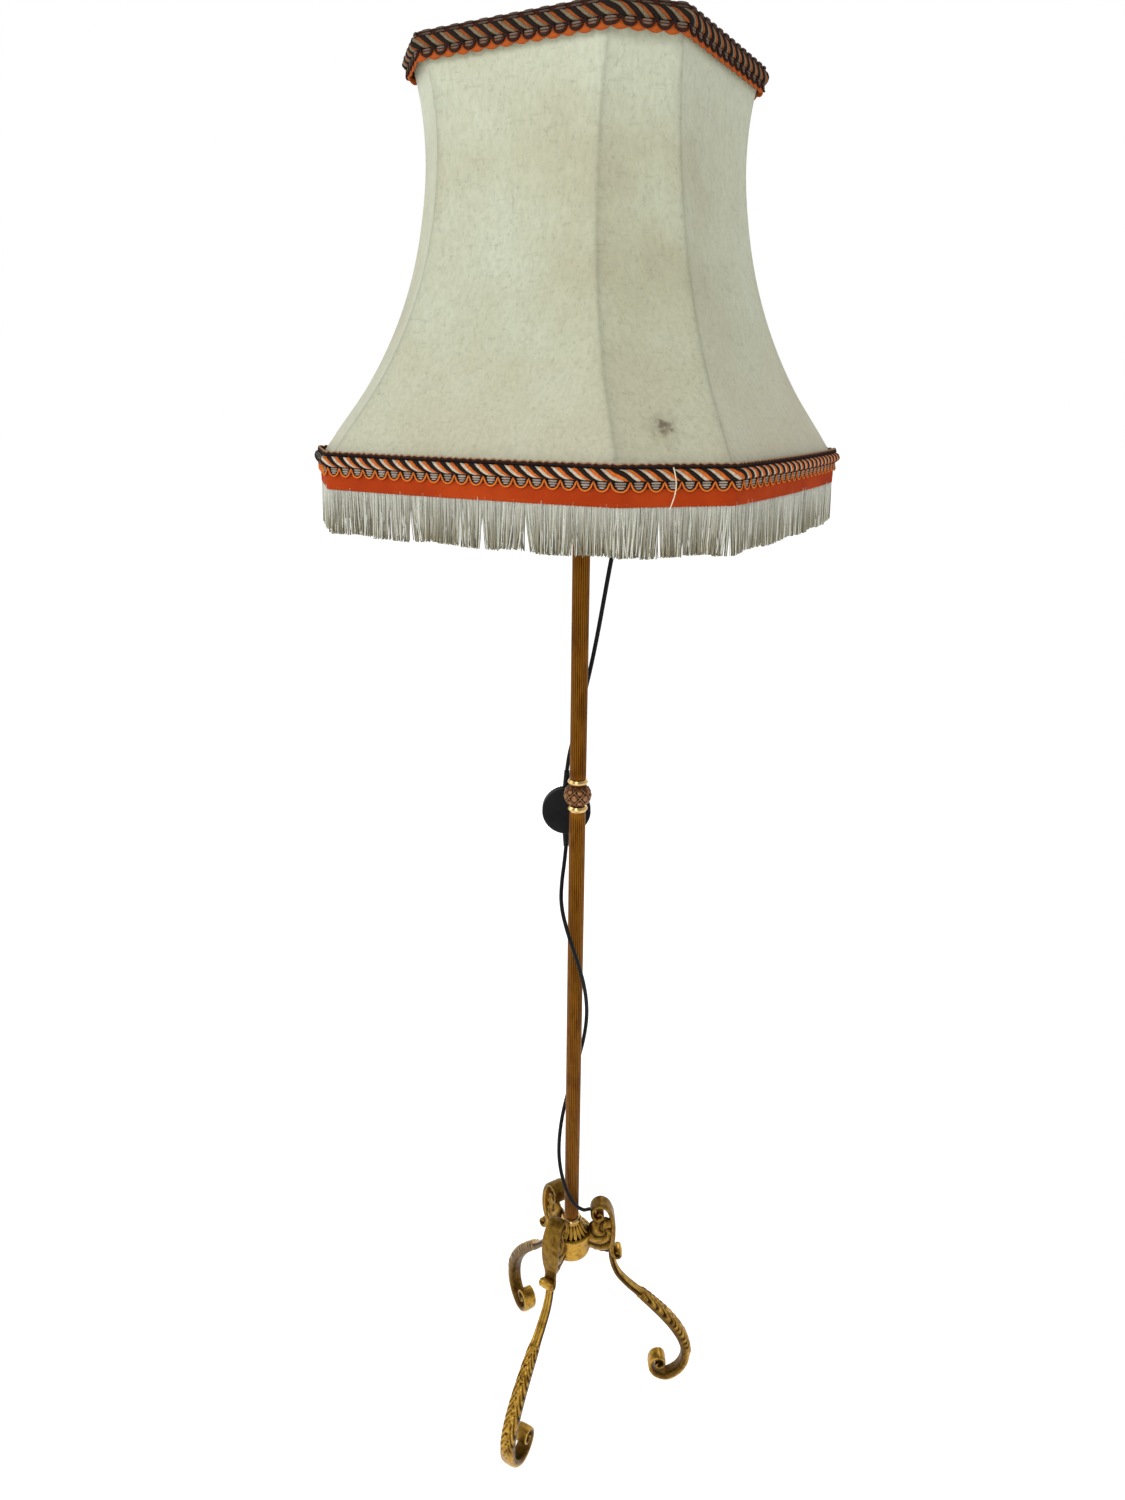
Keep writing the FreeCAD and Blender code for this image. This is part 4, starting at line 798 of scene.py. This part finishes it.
def hung_loops(soup, track, out, top, depth, width, colour, radius):
    """A row of U-shaped loops hanging from a line, one to each repeat."""
    pitch = track.length / repeats_round(track)
    distance = track.even(pitch / 14)
    local = (np.mod(distance, pitch) / pitch * 2 - 1) / width
    hang = np.sqrt(np.clip(1 - local ** 2, 0, 1))
    height = top - depth * hang
    centres = track.at(distance, out + 0.0004 * hang, height)
    # Painted shade: each loop is darker on its side towards the shade's wall.
    soup.tube(centres, track.normal(distance), radius, (*colour, 1), sides=7, loop=True,
              lit_side=track.normal(distance))


def cores(soup, track, out, top, colour, lengths, gap):
    """Short padded bars inside the loops, one under another, each of its own length."""
    repeats = repeats_round(track)
    pitch = track.length / repeats
    for repeat in range(repeats):
        for row, length in enumerate(lengths):
            distance = (repeat + 0.5) * pitch + np.array([-1, -0.8, -0.3, 0.3, 0.8, 1]) * length / 2
            size = np.array([0.35, 0.85, 1.0, 1.0, 0.85, 0.35]) * gap * 0.46
            centres = track.at(distance, out, top - gap * (row + 0.5))
            shade = 0.8 + 0.4 * rng.random()
            # Painted shade: each bar is darker on its side towards the shade's wall.
            soup.tube(centres, (0, 0, 1), size, (*(c * shade for c in colour), 1), sides=7,
                      lit_side=track.normal(distance))


def make_bottom_trim():
    """From the top: a dark wavy edge, a two-tone twist whose third, black ply fills its gaps as painted
    shade, and orange loops with grey cores.
    """
    track = Track(0.0, 0.0004)
    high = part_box("bottom_braid")[1].z
    trim = Soup()
    band(trim, track, high - 0.0225, high - 0.003, 0.0, 0.0012, 0.006, (*BROWN, 1))
    wave = track.even(0.0018)
    phase = wave / track.length * 2 * math.pi * repeats_round(track)
    for lift, colour, radius, out in ((-0.0022, BROWN, 0.0011, 0.0018), (-0.0008, TAN, 0.0007, 0.0016),
                                      (-0.0036, BLACK, 0.0010, 0.0022)):
        height = high + lift + 0.0007 * np.sin(phase + 2 * np.sin(phase))
        trim.tube(track.at(wave, out, height), track.normal(wave), radius, (*colour, 1), sides=6, loop=True)
    # The black ply stands for the shade in the gaps between the cream and orange plies: painted shade.
    twist(trim, track, 0.0030, high - 0.0096,
          [(CREAM, 0.92), (ORANGE, 0.95), (BLACK, 1.18)])
    hung_loops(trim, track, 0.0026, high - 0.0150, 0.0078, 0.90, (0.60, 0.15, 0.022), 0.00085)
    hung_loops(trim, track, 0.0020, high - 0.0152, 0.0062, 0.76, BLACK, 0.0008)
    cores(trim, track, 0.0022, high - 0.0150, GREY, (0.0085, 0.0078, 0.0056), 0.0021)
    return trim.piece("bottom_gimp", "shade", "braid", ["bottom_braid"])


def make_top_trim():
    """The same gimp, darker: bars above the twist, looped bars below it, and an orange scalloped edge."""
    track = Track(1.0, 0.0004)
    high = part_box("top_braid")[1].z
    trim = Soup()
    band(trim, track, high - 0.0190, high - 0.0008, 0.0, 0.0014, 0.006, (*BROWN, 1))
    pitch = track.length / repeats_round(track)
    band(trim, track, high - 0.0215, high - 0.0165, 0.0002, 0.0016, pitch / 12, (0.42, 0.085, 0.015, 1),
         lambda s: 0.0022 * np.abs(np.sin(math.pi * s / pitch + math.pi / 2)))
    cores(trim, track, 0.0022, high - 0.0002, (0.085, 0.055, 0.042), (0.0096, 0.0100), 0.0024)
    # As below, the black ply stands for the shade in the twist's gaps: painted shade.
    twist(trim, track, 0.0024, high - 0.0098,
          [((0.17, 0.135, 0.085), 0.95), ((0.24, 0.060, 0.013), 0.85), (BLACK, 1.20)])
    hung_loops(trim, track, 0.0024, high - 0.0150, 0.0058, 0.84, (0.030, 0.012, 0.010), 0.0010)
    cores(trim, track, 0.0022, high - 0.0148, (0.15, 0.105, 0.08), (0.0085, 0.0066), 0.0022)
    return trim.piece("top_gimp", "shade", "braid", ["top_braid"])


def make_ribbon():
    """The rust ribbon under the lower gimp: fine ribs along it and tiny loops along its lower edge."""
    track = Track(0.0, 0.0004)
    low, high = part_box("ribbon")
    tape = Soup()
    picot = track.length / round(track.length / 0.0036)
    band(tape, track, low.z + 0.0006, high.z + 0.006, 0.0, 0.0012, picot / 6, (*RUST, 1),
         lambda s: 0.0005 * np.abs(np.sin(math.pi * s / picot)), rows=14)
    return tape.piece("rust_ribbon", "shade", "ribbon", ["ribbon"])


IVORY, STRAW, SHADOW = (0.62, 0.63, 0.55), (0.29, 0.265, 0.175), (0.095, 0.080, 0.048)
YARN_RADIUS = 0.00052
FRINGE_LAYERS = ((0.0001, 0.00085), (-0.0007, 0.00095), (-0.0016, 0.0011))    # (depth, spacing of yarns)
FRINGE_GAPS = (0.059, 0.107, 0.133, 0.247, 0.47, 0.66, 0.83)    # shares of the way round
LOOSE_THREAD_AT = 0.212    # a share of the way round


def make_fringe():
    """Cut yarns in three layers that gather into uneven bunches, with gaps, strays and a loose thread."""
    track = Track(0.0, 0.0004)
    low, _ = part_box("fringe")
    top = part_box("ribbon")[0].z + 0.003
    edges = [0.0]
    while edges[-1] < track.length - 0.012:
        edges.append(edges[-1] + rng.uniform(0.009, 0.026))
    edges = np.array(edges)
    gaps = track.length * np.array(FRINGE_GAPS)
    strands = Soup()
    share = np.linspace(0, 1, 7)
    for layer, (depth, step) in enumerate(FRINGE_LAYERS):
        for place in track.even(step):
            out = depth + rng.normal(0, 0.0003)
            bunch = np.searchsorted(edges, place, side="right") - 1
            bunch_low = edges[bunch]
            bunch_high = edges[bunch + 1] if bunch + 1 < len(edges) else track.length
            centre = (bunch_low + bunch_high) / 2
            pull = 0.05 + 0.06 * math.sin(bunch * 2.4)
            nearest = gaps[np.argmin(np.abs(gaps - place))]
            reach = place - nearest
            part = 0.0040 * math.copysign(math.exp(-abs(reach) / 0.008), reach)
            lean = (centre - place) * pull + part + rng.normal(0, 0.0011) + 0.002 * math.sin(bunch * 1.7)
            if rng.random() < 0.06:
                lean += rng.normal(0, 0.006)
            tip = low.z + abs(rng.normal(0, 0.0012)) + 0.0012 * (1 + math.sin(bunch * 1.3))
            height = top + (tip - top) * share
            waver = rng.normal(0, 0.0003) * np.sin(share * rng.uniform(3, 8))
            swell = 0.0007 + rng.normal(0, 0.0005) + 0.0004 * math.sin(bunch * 2.9)
            centres = track.at(place + lean * share ** 1.6 + waver, out + swell * share, height)
            mood = rng.random()
            upper = np.array(IVORY) * (0.80 + 0.25 * mood)
            lower = np.array(STRAW) * (0.70 + 0.5 * mood) if layer == 0 else np.array(SHADOW) * (0.9 + mood)
            if rng.random() < (0.26 if layer == 0 else 0.08):
                lower = np.array(IVORY) * 1.15
            fade = share[:, None] ** 0.75
            tints = np.column_stack([upper[None] * (1 - fade) + lower[None] * fade, np.ones(len(share))])
            strands.tube(centres, track.normal(np.array([place] * len(share))),
                         YARN_RADIUS * (0.8 + 0.4 * rng.random()), tints, sides=4)
    sag = np.linspace(0, 1, 12)
    loose = np.full(len(sag), track.length * LOOSE_THREAD_AT)
    thread = track.at(loose + 0.0035 * np.sin(sag * 3.4) - 0.001 * sag, 0.0085, top + 0.030 - 0.034 * sag)
    strands.tube(thread, track.normal(loose), 0.0005, (0.80, 0.72, 0.55, 1), sides=6)
    return strands.piece("yarn_fringe", "shade", "fringe", ["fringe"])


bottom_trim = make_bottom_trim()
top_trim = make_top_trim()
rust_ribbon = make_ribbon()
fringe = make_fringe()


# ---------------------------------------------------------------- pole, rings and knop

REEDS = 24


def reeding(angle, share):
    """Rounded reeds with sharp grooves, that die out at each end of the tube."""
    fade = np.clip(np.minimum(share, 1 - share) * 60, 0, 1)
    return 1 - fade * (1 - np.abs(np.sin(angle * REEDS / 2)) ** 0.8)


def make_pole(name, node):
    low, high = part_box(node)
    bottom, top = low.z / MM, high.z / MM
    profile = [(9.2, z) for z in np.linspace(bottom, top, 160)]
    tube = Soup()
    lathe(tube, profile, REEDS * 8, reeding, 0.0008)
    tube.piece(name, "stand", "pole_brass", [node])


def make_ring(name, node, bulge):
    """A polished bead between two plainer steps."""
    low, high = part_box(node)
    z, height, radius = low.z / MM, (high.z - low.z) / MM, high.x / MM
    lower = [(1.9, 0), (1.3, 0.12), (bulge, 0.2), (0.35, 0.33), (0, 0.5)]
    upper = [(inset, 1 - share) for inset, share in lower[-2::-1]]
    profile = smooth_profile([(radius - inset, share * height) for inset, share in lower + upper], 40, z)
    bead = Soup()
    lathe(bead, profile, 96)
    bead.piece(name, "stand", "bright_brass", [node])


def lattice(angle, share):
    """A net of raised diamonds with a small leaf in each."""
    u, v = angle * 7 / (2 * math.pi), share * 2.0
    first, second = np.abs(np.sin(math.pi * (u + v))), np.abs(np.sin(math.pi * (u - v)))
    net = np.exp(-(np.minimum(first, second) / 0.22) ** 2)
    leaf = np.clip(first * second - 0.25, 0, 1) * 1.5
    vein = np.exp(-((np.mod(u + 0.5 * np.round(v), 1) - 0.5) / 0.04) ** 2) * 0.3
    fade = np.clip(np.minimum(share, 1 - share) * 8, 0, 1)
    return np.clip(net * 0.9 + leaf - vein * leaf, 0, 1) * fade


def make_knop():
    profile = [(8.4, 0), (9.4, 1.6), (12.4, 4.6), (14.8, 9.2), (15.3, 13.5), (14.8, 17.8), (12.4, 22.4),
               (9.4, 25.4), (8.4, 27)]
    ball = Soup()
    lathe(ball, smooth_profile(profile, 110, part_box("knop")[0].z / MM), 336, lattice, 0.0016)
    ball.piece("carved_knop", "stand", "knop_brass", ["knop"], "cast_brass")


make_pole("reeded_pole_lower", "lower_pole")
make_pole("reeded_pole_upper", "upper_pole")
make_ring("knop_bead_lower", "knop_ring_lower", 1.0)
make_ring("knop_bead_upper", "knop_ring_upper", 1.0)
make_ring("hub_bead", "hub_collar", 0.9)
make_knop()


# ---------------------------------------------------------------- hub

def petals(angle, share):
    """A ring of pointed leaves that lie on the cone, each with a vein, inside a plain rim."""
    count = 20
    u = np.mod(angle * count / (2 * math.pi), 1) - 0.5
    v = np.clip((share - 0.30) / 0.58, 0, 1)
    width = 0.46 * np.sin(math.pi * (0.12 + 0.80 * (1 - v))) ** 0.8
    leaf = np.sqrt(np.clip(1 - (u / width) ** 2, 0, 1))
    vein = 0.45 * np.exp(-(u / 0.055) ** 2)
    between = np.exp(-((np.abs(u) - 0.5) / 0.06) ** 2) * 0.55 * np.clip(v * 2 - 0.6, 0, 1)
    on_cone = ((share > 0.28) & (share < 0.93))
    return np.where(on_cone, np.clip(leaf - vein * leaf + between, 0, 1), 0.92)


def make_hub():
    cone, drum = Soup(), Soup()
    profile = [(24.5, 0), (26.2, 0.3), (27.1, 1.6), (27.2, 3.0), (26.4, 4.4), (24.6, 5.3), (23.2, 6.0),
               (20.6, 8.2), (17.4, 12), (14.4, 16.4), (12.2, 20), (11.8, 21.6), (11.8, 23)]
    lathe(cone, smooth_profile(profile, 150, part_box("hub_shoulder")[0].z / MM), 432, petals, 0.0013)
    cone.piece("leafy_shoulder", "stand", "cast_brass", ["hub_shoulder"])
    profile = [(5.4, 0.2), (12, 0.1), (19, 0.4), (23.2, 1.6), (25.9, 4.4), (26.9, 8.5), (26.9, 16),
               (26.9, 24), (26.9, 29), (26.4, 30.6), (26.9, 31.8), (26.6, 32.8), (24, 33)]
    lathe(drum, smooth_profile(profile, 90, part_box("hub_drum")[0].z / MM), 160)
    drum.piece("hub_cup", "stand", "plain_brass", ["hub_drum"], "cast_brass")


make_hub()


# ---------------------------------------------------------------- legs

# In a leg's own frame: (distance from the axis, height, thickness, width), in mm, down the bar,
# round the knee and the foot, and into the rolled end.
BAR = [
    (57, 250, 7.5, 10), (59, 230, 8, 10.5), (67.5, 204, 8.4, 11.5), (82.5, 184, 9, 12.6),
    (99, 167, 10, 14), (106, 160, 12.2, 15.6), (120, 145, 13.6, 17), (137, 125.5, 14.4, 18.4),
    (153.5, 103, 14.6, 19.6), (166, 80, 14.4, 20), (172.5, 56, 13.4, 20), (171, 33, 12.2, 20),
    (160, 14.5, 11, 20), (146, 6.4, 10.2, 20), (132, 10, 8.8, 20), (123.4, 20, 7.8, 20),
    (121.6, 32, 7, 20), (127, 42, 6.2, 20), (136, 43.6, 5.6, 20), (141.2, 37.6, 5, 20),
    (140, 30, 4.6, 20), (134.4, 26.8, 4.2, 20), (130.2, 30.6, 3.8, 20), (132.4, 34.6, 3.2, 20),
]
# the strap: a small rolled lip at its foot, then up the outside, over the top and into its rolled end
STRAP = [
    (63.6, 246.0, 2.4, 20), (67.0, 247.4, 2.6, 22), (70.0, 244.6, 3, 23.4), (69.2, 240, 3.6, 23.4),
    (65.0, 238.2, 4.4, 22), (61.0, 241.6, 5.2, 19.6), (58.8, 248.4, 5.8, 17), (58.4, 257, 6.2, 17.4),
    (59.2, 268, 6.2, 21.4), (59.6, 281, 6, 24.6), (59.2, 297, 5.8, 25.4), (56.2, 313, 5.4, 25),
    (49.2, 325.6, 5.2, 23), (40.6, 329.6, 5, 22), (32.4, 325.8, 4.8, 21), (28.8, 317, 4.6, 21),
    (30.6, 308.4, 4.4, 21), (37, 304.4, 4.2, 21), (42.6, 307.6, 4, 21), (43.4, 313.6, 3.8, 21),
    (39, 317, 3.4, 21), (36, 314, 3, 21),
]
COLLAR_AT = 100.0    # distance along the bar to the small collar, in mm
KNEE_AT = 236.0      # where the carved stretch ends


def swept(path, step, sides, power, relief):
    """Rings of a flattened bar along a path, carved by relief(along, across, up): along in mm, and across
    and up from -1 to 1 over the bar's width and thickness."""
    path = np.asarray(path, float)
    marks = np.concatenate([[0], np.cumsum(np.linalg.norm(np.diff(path[:, :2], axis=0), axis=1))])
    along = np.linspace(0, marks[-1], int(marks[-1] / step))
    reach, height, thickness, width = hermite(marks, path, along).T
    tangent = np.gradient(np.stack([reach, height], -1), along, axis=0)
    tangent /= np.linalg.norm(tangent, axis=1)[:, None]
    outward = np.stack([-tangent[:, 1], tangent[:, 0]], -1)
    across, up = rounded(sides, power)
    raised, alpha = relief(*np.broadcast_arrays(along[:, None], across[None, :], up[None, :]))
    lift = up[None] * thickness[:, None] / 2 + raised
    side = across[None] * width[:, None] / 2
    points = np.stack([reach[:, None] + outward[:, 0:1] * lift, side,
                       height[:, None] + outward[:, 1:2] * lift], -1)
    return points * MM, tint_grid((1, 1, 1), alpha)


def bar_relief(along, across, up):
    """Three reeds above the collar, flowing acanthus down to the knee and a raised edge on the foot."""
    outer = np.clip(up * 1.5 + 0.25, 0, 1)
    reeds = np.abs(np.sin(1.5 * math.pi * (across + 1)))
    spine_at = 0.30 * np.sin(along / 21)
    swing = np.abs(across - spine_at)
    lobe = along / 12 - 2.1 * swing ** 1.1 + 0.12 * np.sin(along / 7)
    fold = np.abs(np.sin(math.pi * lobe)) ** 0.7
    veins = 0.5 + 0.5 * np.sin(2 * math.pi * (3 * lobe + 0.15 * np.sin(along / 3)))
    spine = np.exp(-(swing / 0.10) ** 2)
    leaf = np.clip(0.60 * fold + 0.25 * veins * fold + 0.35 * spine, 0, 1)
    border = np.clip((np.abs(across) - 0.72) * 5, 0, 1)
    start = np.clip((along - COLLAR_AT - 2 + 6 * np.abs(across)) / 3, 0, 1)
    end = np.clip((KNEE_AT - along + 14 * np.cos(across * 2)) / 10, 0, 1)
    carved = start * end
    upper = np.clip((COLLAR_AT - along) / 4, 0, 1)
    foot = 1 - np.clip((KNEE_AT - along) / 14, 0, 1)
    ring = np.exp(-((along - COLLAR_AT) / 1.8) ** 2)
    raised = outer * (upper * 0.9 * reeds + carved * 2.3 * leaf + foot * 0.5 * border) + ring * 1.1 * up
    shine = upper * (0.7 * reeds - 0.45) + carved * (leaf * 1.25 - 0.75) + foot * 0.3 * border
    # Painted shade: the bar's back and sides, and the edges of its outer face, get a lower alpha and so turn
    # darker.
    sides = (1 - outer) * 0.36 + outer * 0.22 * np.abs(across) ** 3
    return raised, 0.62 + outer * shine - sides + ring * 0.3


def strap_relief(along, across, up):
    """A crowned strap with a fine raised line inside each edge."""
    outer = np.clip(up * 2, 0, 1)
    line = np.exp(-((np.abs(across) - 0.84) / 0.06) ** 2)
    groove = np.exp(-((np.abs(across) - 0.70) / 0.05) ** 2)
    crown = 1 - across ** 2
    # Painted shade: the strap's inner face keeps a low alpha and turns darker; the crown's lighter middle is
    # partly rubbed wear, partly a painted highlight.
    return (outer * (0.4 * line - 0.35 * groove + 1.6 * crown),
            0.36 + outer * (0.52 * crown + 0.2 * line - 0.4 * groove))


def leaf_plate():
    """The web between the drum and the strap: a curled leaf with deep folds on both faces."""
    columns, rows = 50, 64
    u = np.linspace(0, 1, columns)
    lower = np.stack([25.5 + 31 * u, 249 - 9 * np.sin(u * math.pi / 1.7) + 1.2 * np.abs(np.sin(u * 11))], -1)
    upper = np.stack([25.5 + 31 * u, 291 + 10 * np.sin(u * 1.9) + 2.4 * np.abs(np.sin(u * 10.4 + 0.4))], -1)
    v = np.linspace(0, 1, rows)
    flat = lower[None] * (1 - v[:, None, None]) + upper[None] * v[:, None, None]
    edge = np.minimum(np.minimum(v[:, None], 1 - v[:, None]) * 5, 1) ** 0.6 * np.ones((1, columns))
    centre = (47, 283)
    swirl = np.hypot(flat[..., 0] - centre[0], flat[..., 1] - centre[1])
    turn = np.arctan2(flat[..., 1] - centre[1], flat[..., 0] - centre[0])
    folds = np.abs(np.sin(swirl * 0.20 + turn * 1.5 + 0.8)) ** 0.6
    veins = 0.5 + 0.5 * np.sin(swirl * 0.5 + turn * 9)
    relief = np.clip(0.70 * folds + 0.30 * veins * folds, 0, 1)
    thick = edge * (2.6 + 3.6 * relief + 1.6 * np.sin(math.pi * v[:, None])) + 0.5
    front = np.stack([flat[..., 0], -thick, flat[..., 1]], -1)
    back = np.stack([flat[..., 0], thick, flat[..., 1]], -1)
    rings = np.concatenate([front, back[::-1]], axis=0)
    rings = np.transpose(rings, (1, 0, 2)) * MM
    alpha = np.transpose(np.concatenate([relief, relief[::-1]], axis=0)) * 0.55
    return rings, tint_grid((1, 1, 1), alpha)


def make_leg(name, node, azimuth):
    """One cast leg: carved bar and rolled foot, strap with its scroll and lip, and leafy web."""
    leg = Soup()
    leg.grid(*swept(BAR, 0.9, 44, 0.62, bar_relief))
    leg.grid(*swept(STRAP, 1.4, 32, 0.45, strap_relief))
    leg.grid(*leaf_plate())
    leg.moved(Matrix.Rotation(math.radians(azimuth), 4, "Z")).piece(name, "stand", "cast_brass", [node])


make_leg("scroll_leg_front", "front_leg", -90)
make_leg("scroll_leg_right", "right_leg", 30)
make_leg("scroll_leg_left", "left_leg", 150)


# ---------------------------------------------------------------- CAD nodes that stay

PLAIN_FINISH = {"cast_brass": "plain_brass", "pole_brass": "plain_brass", "bright_brass": "plain_brass"}
for entry in frame["record"]["subparts"]:
    node = frame["nodes"][entry["node"]]
    slot = entry["material_slot"]
    if not node.hide_render:
        node.data.materials.clear()
        node.data.materials.append(MATERIALS[PLAIN_FINISH.get(slot, slot)])


# ---------------------------------------------------------------- floor and light

# (name, azimuth from the front in degrees, height, distance, size, power)
LIGHTS = (("key", 10, 2.6, 2.5, 1.0, 24), ("fill", -60, 1.9, 2.5, 1.4, 14), ("back", 190, 2.4, 2.6, 1.4, 14))


def make_studio():
    """A wide pale floor, an even sky and three soft panels."""
    floor_mesh = bpy.data.meshes.new("floor")
    wide = 30.0
    floor_mesh.from_pydata([(-wide, -wide, 0), (wide, -wide, 0), (wide, wide, 0), (-wide, wide, 0)], [],
                           [(0, 1, 2, 3)])
    floor = bpy.data.objects.new("floor", floor_mesh)
    scene.collection.objects.link(floor)
    n = Nodes("floor")
    n.set(Base_Color=n.ramp(n.noise(1.5, 2), [(0.3, (0.90, 0.90, 0.90)), (0.7, (0.92, 0.92, 0.92))]),
          Roughness=1.0, Specular_IOR_Level=0.0, Emission_Color=(1.0, 1.0, 1.0), Emission_Strength=0.60)
    floor_mesh.materials.append(n.material)
    world = bpy.data.worlds.new("studio")
    scene.world = world
    world.use_nodes = True
    sky = world.node_tree
    place = sky.nodes.new("ShaderNodeTexCoord")
    split = sky.nodes.new("ShaderNodeSeparateXYZ")
    tone = sky.nodes.new("ShaderNodeValToRGB")
    for element, (position, grey) in zip(tone.color_ramp.elements, ((0.34, 1.0), (0.52, 0.42))):
        element.position = position
        element.color = (grey, grey, grey, 1)
    sky.links.new(place.outputs["Generated"], split.inputs[0])
    sky.links.new(split.outputs["Z"], tone.inputs["Fac"])
    sky.links.new(tone.outputs["Color"], sky.nodes["Background"].inputs["Color"])
    sky.nodes["Background"].inputs["Strength"].default_value = 1.0
    for name, azimuth, height, distance, size, power in LIGHTS:
        data = bpy.data.lights.new(name, "AREA")
        data.size = size
        data.energy = power
        lamp = bpy.data.objects.new(name, data)
        scene.collection.objects.link(lamp)
        angle = math.radians(azimuth)
        lamp.location = (distance * math.sin(angle), -distance * math.cos(angle), height)
        lamp.rotation_mode = "QUATERNION"
        lamp.rotation_quaternion = (Vector((0, 0, 0.9)) - lamp.location).to_track_quat("-Z", "Y")


make_studio()
scene.view_settings.view_transform = "Standard"
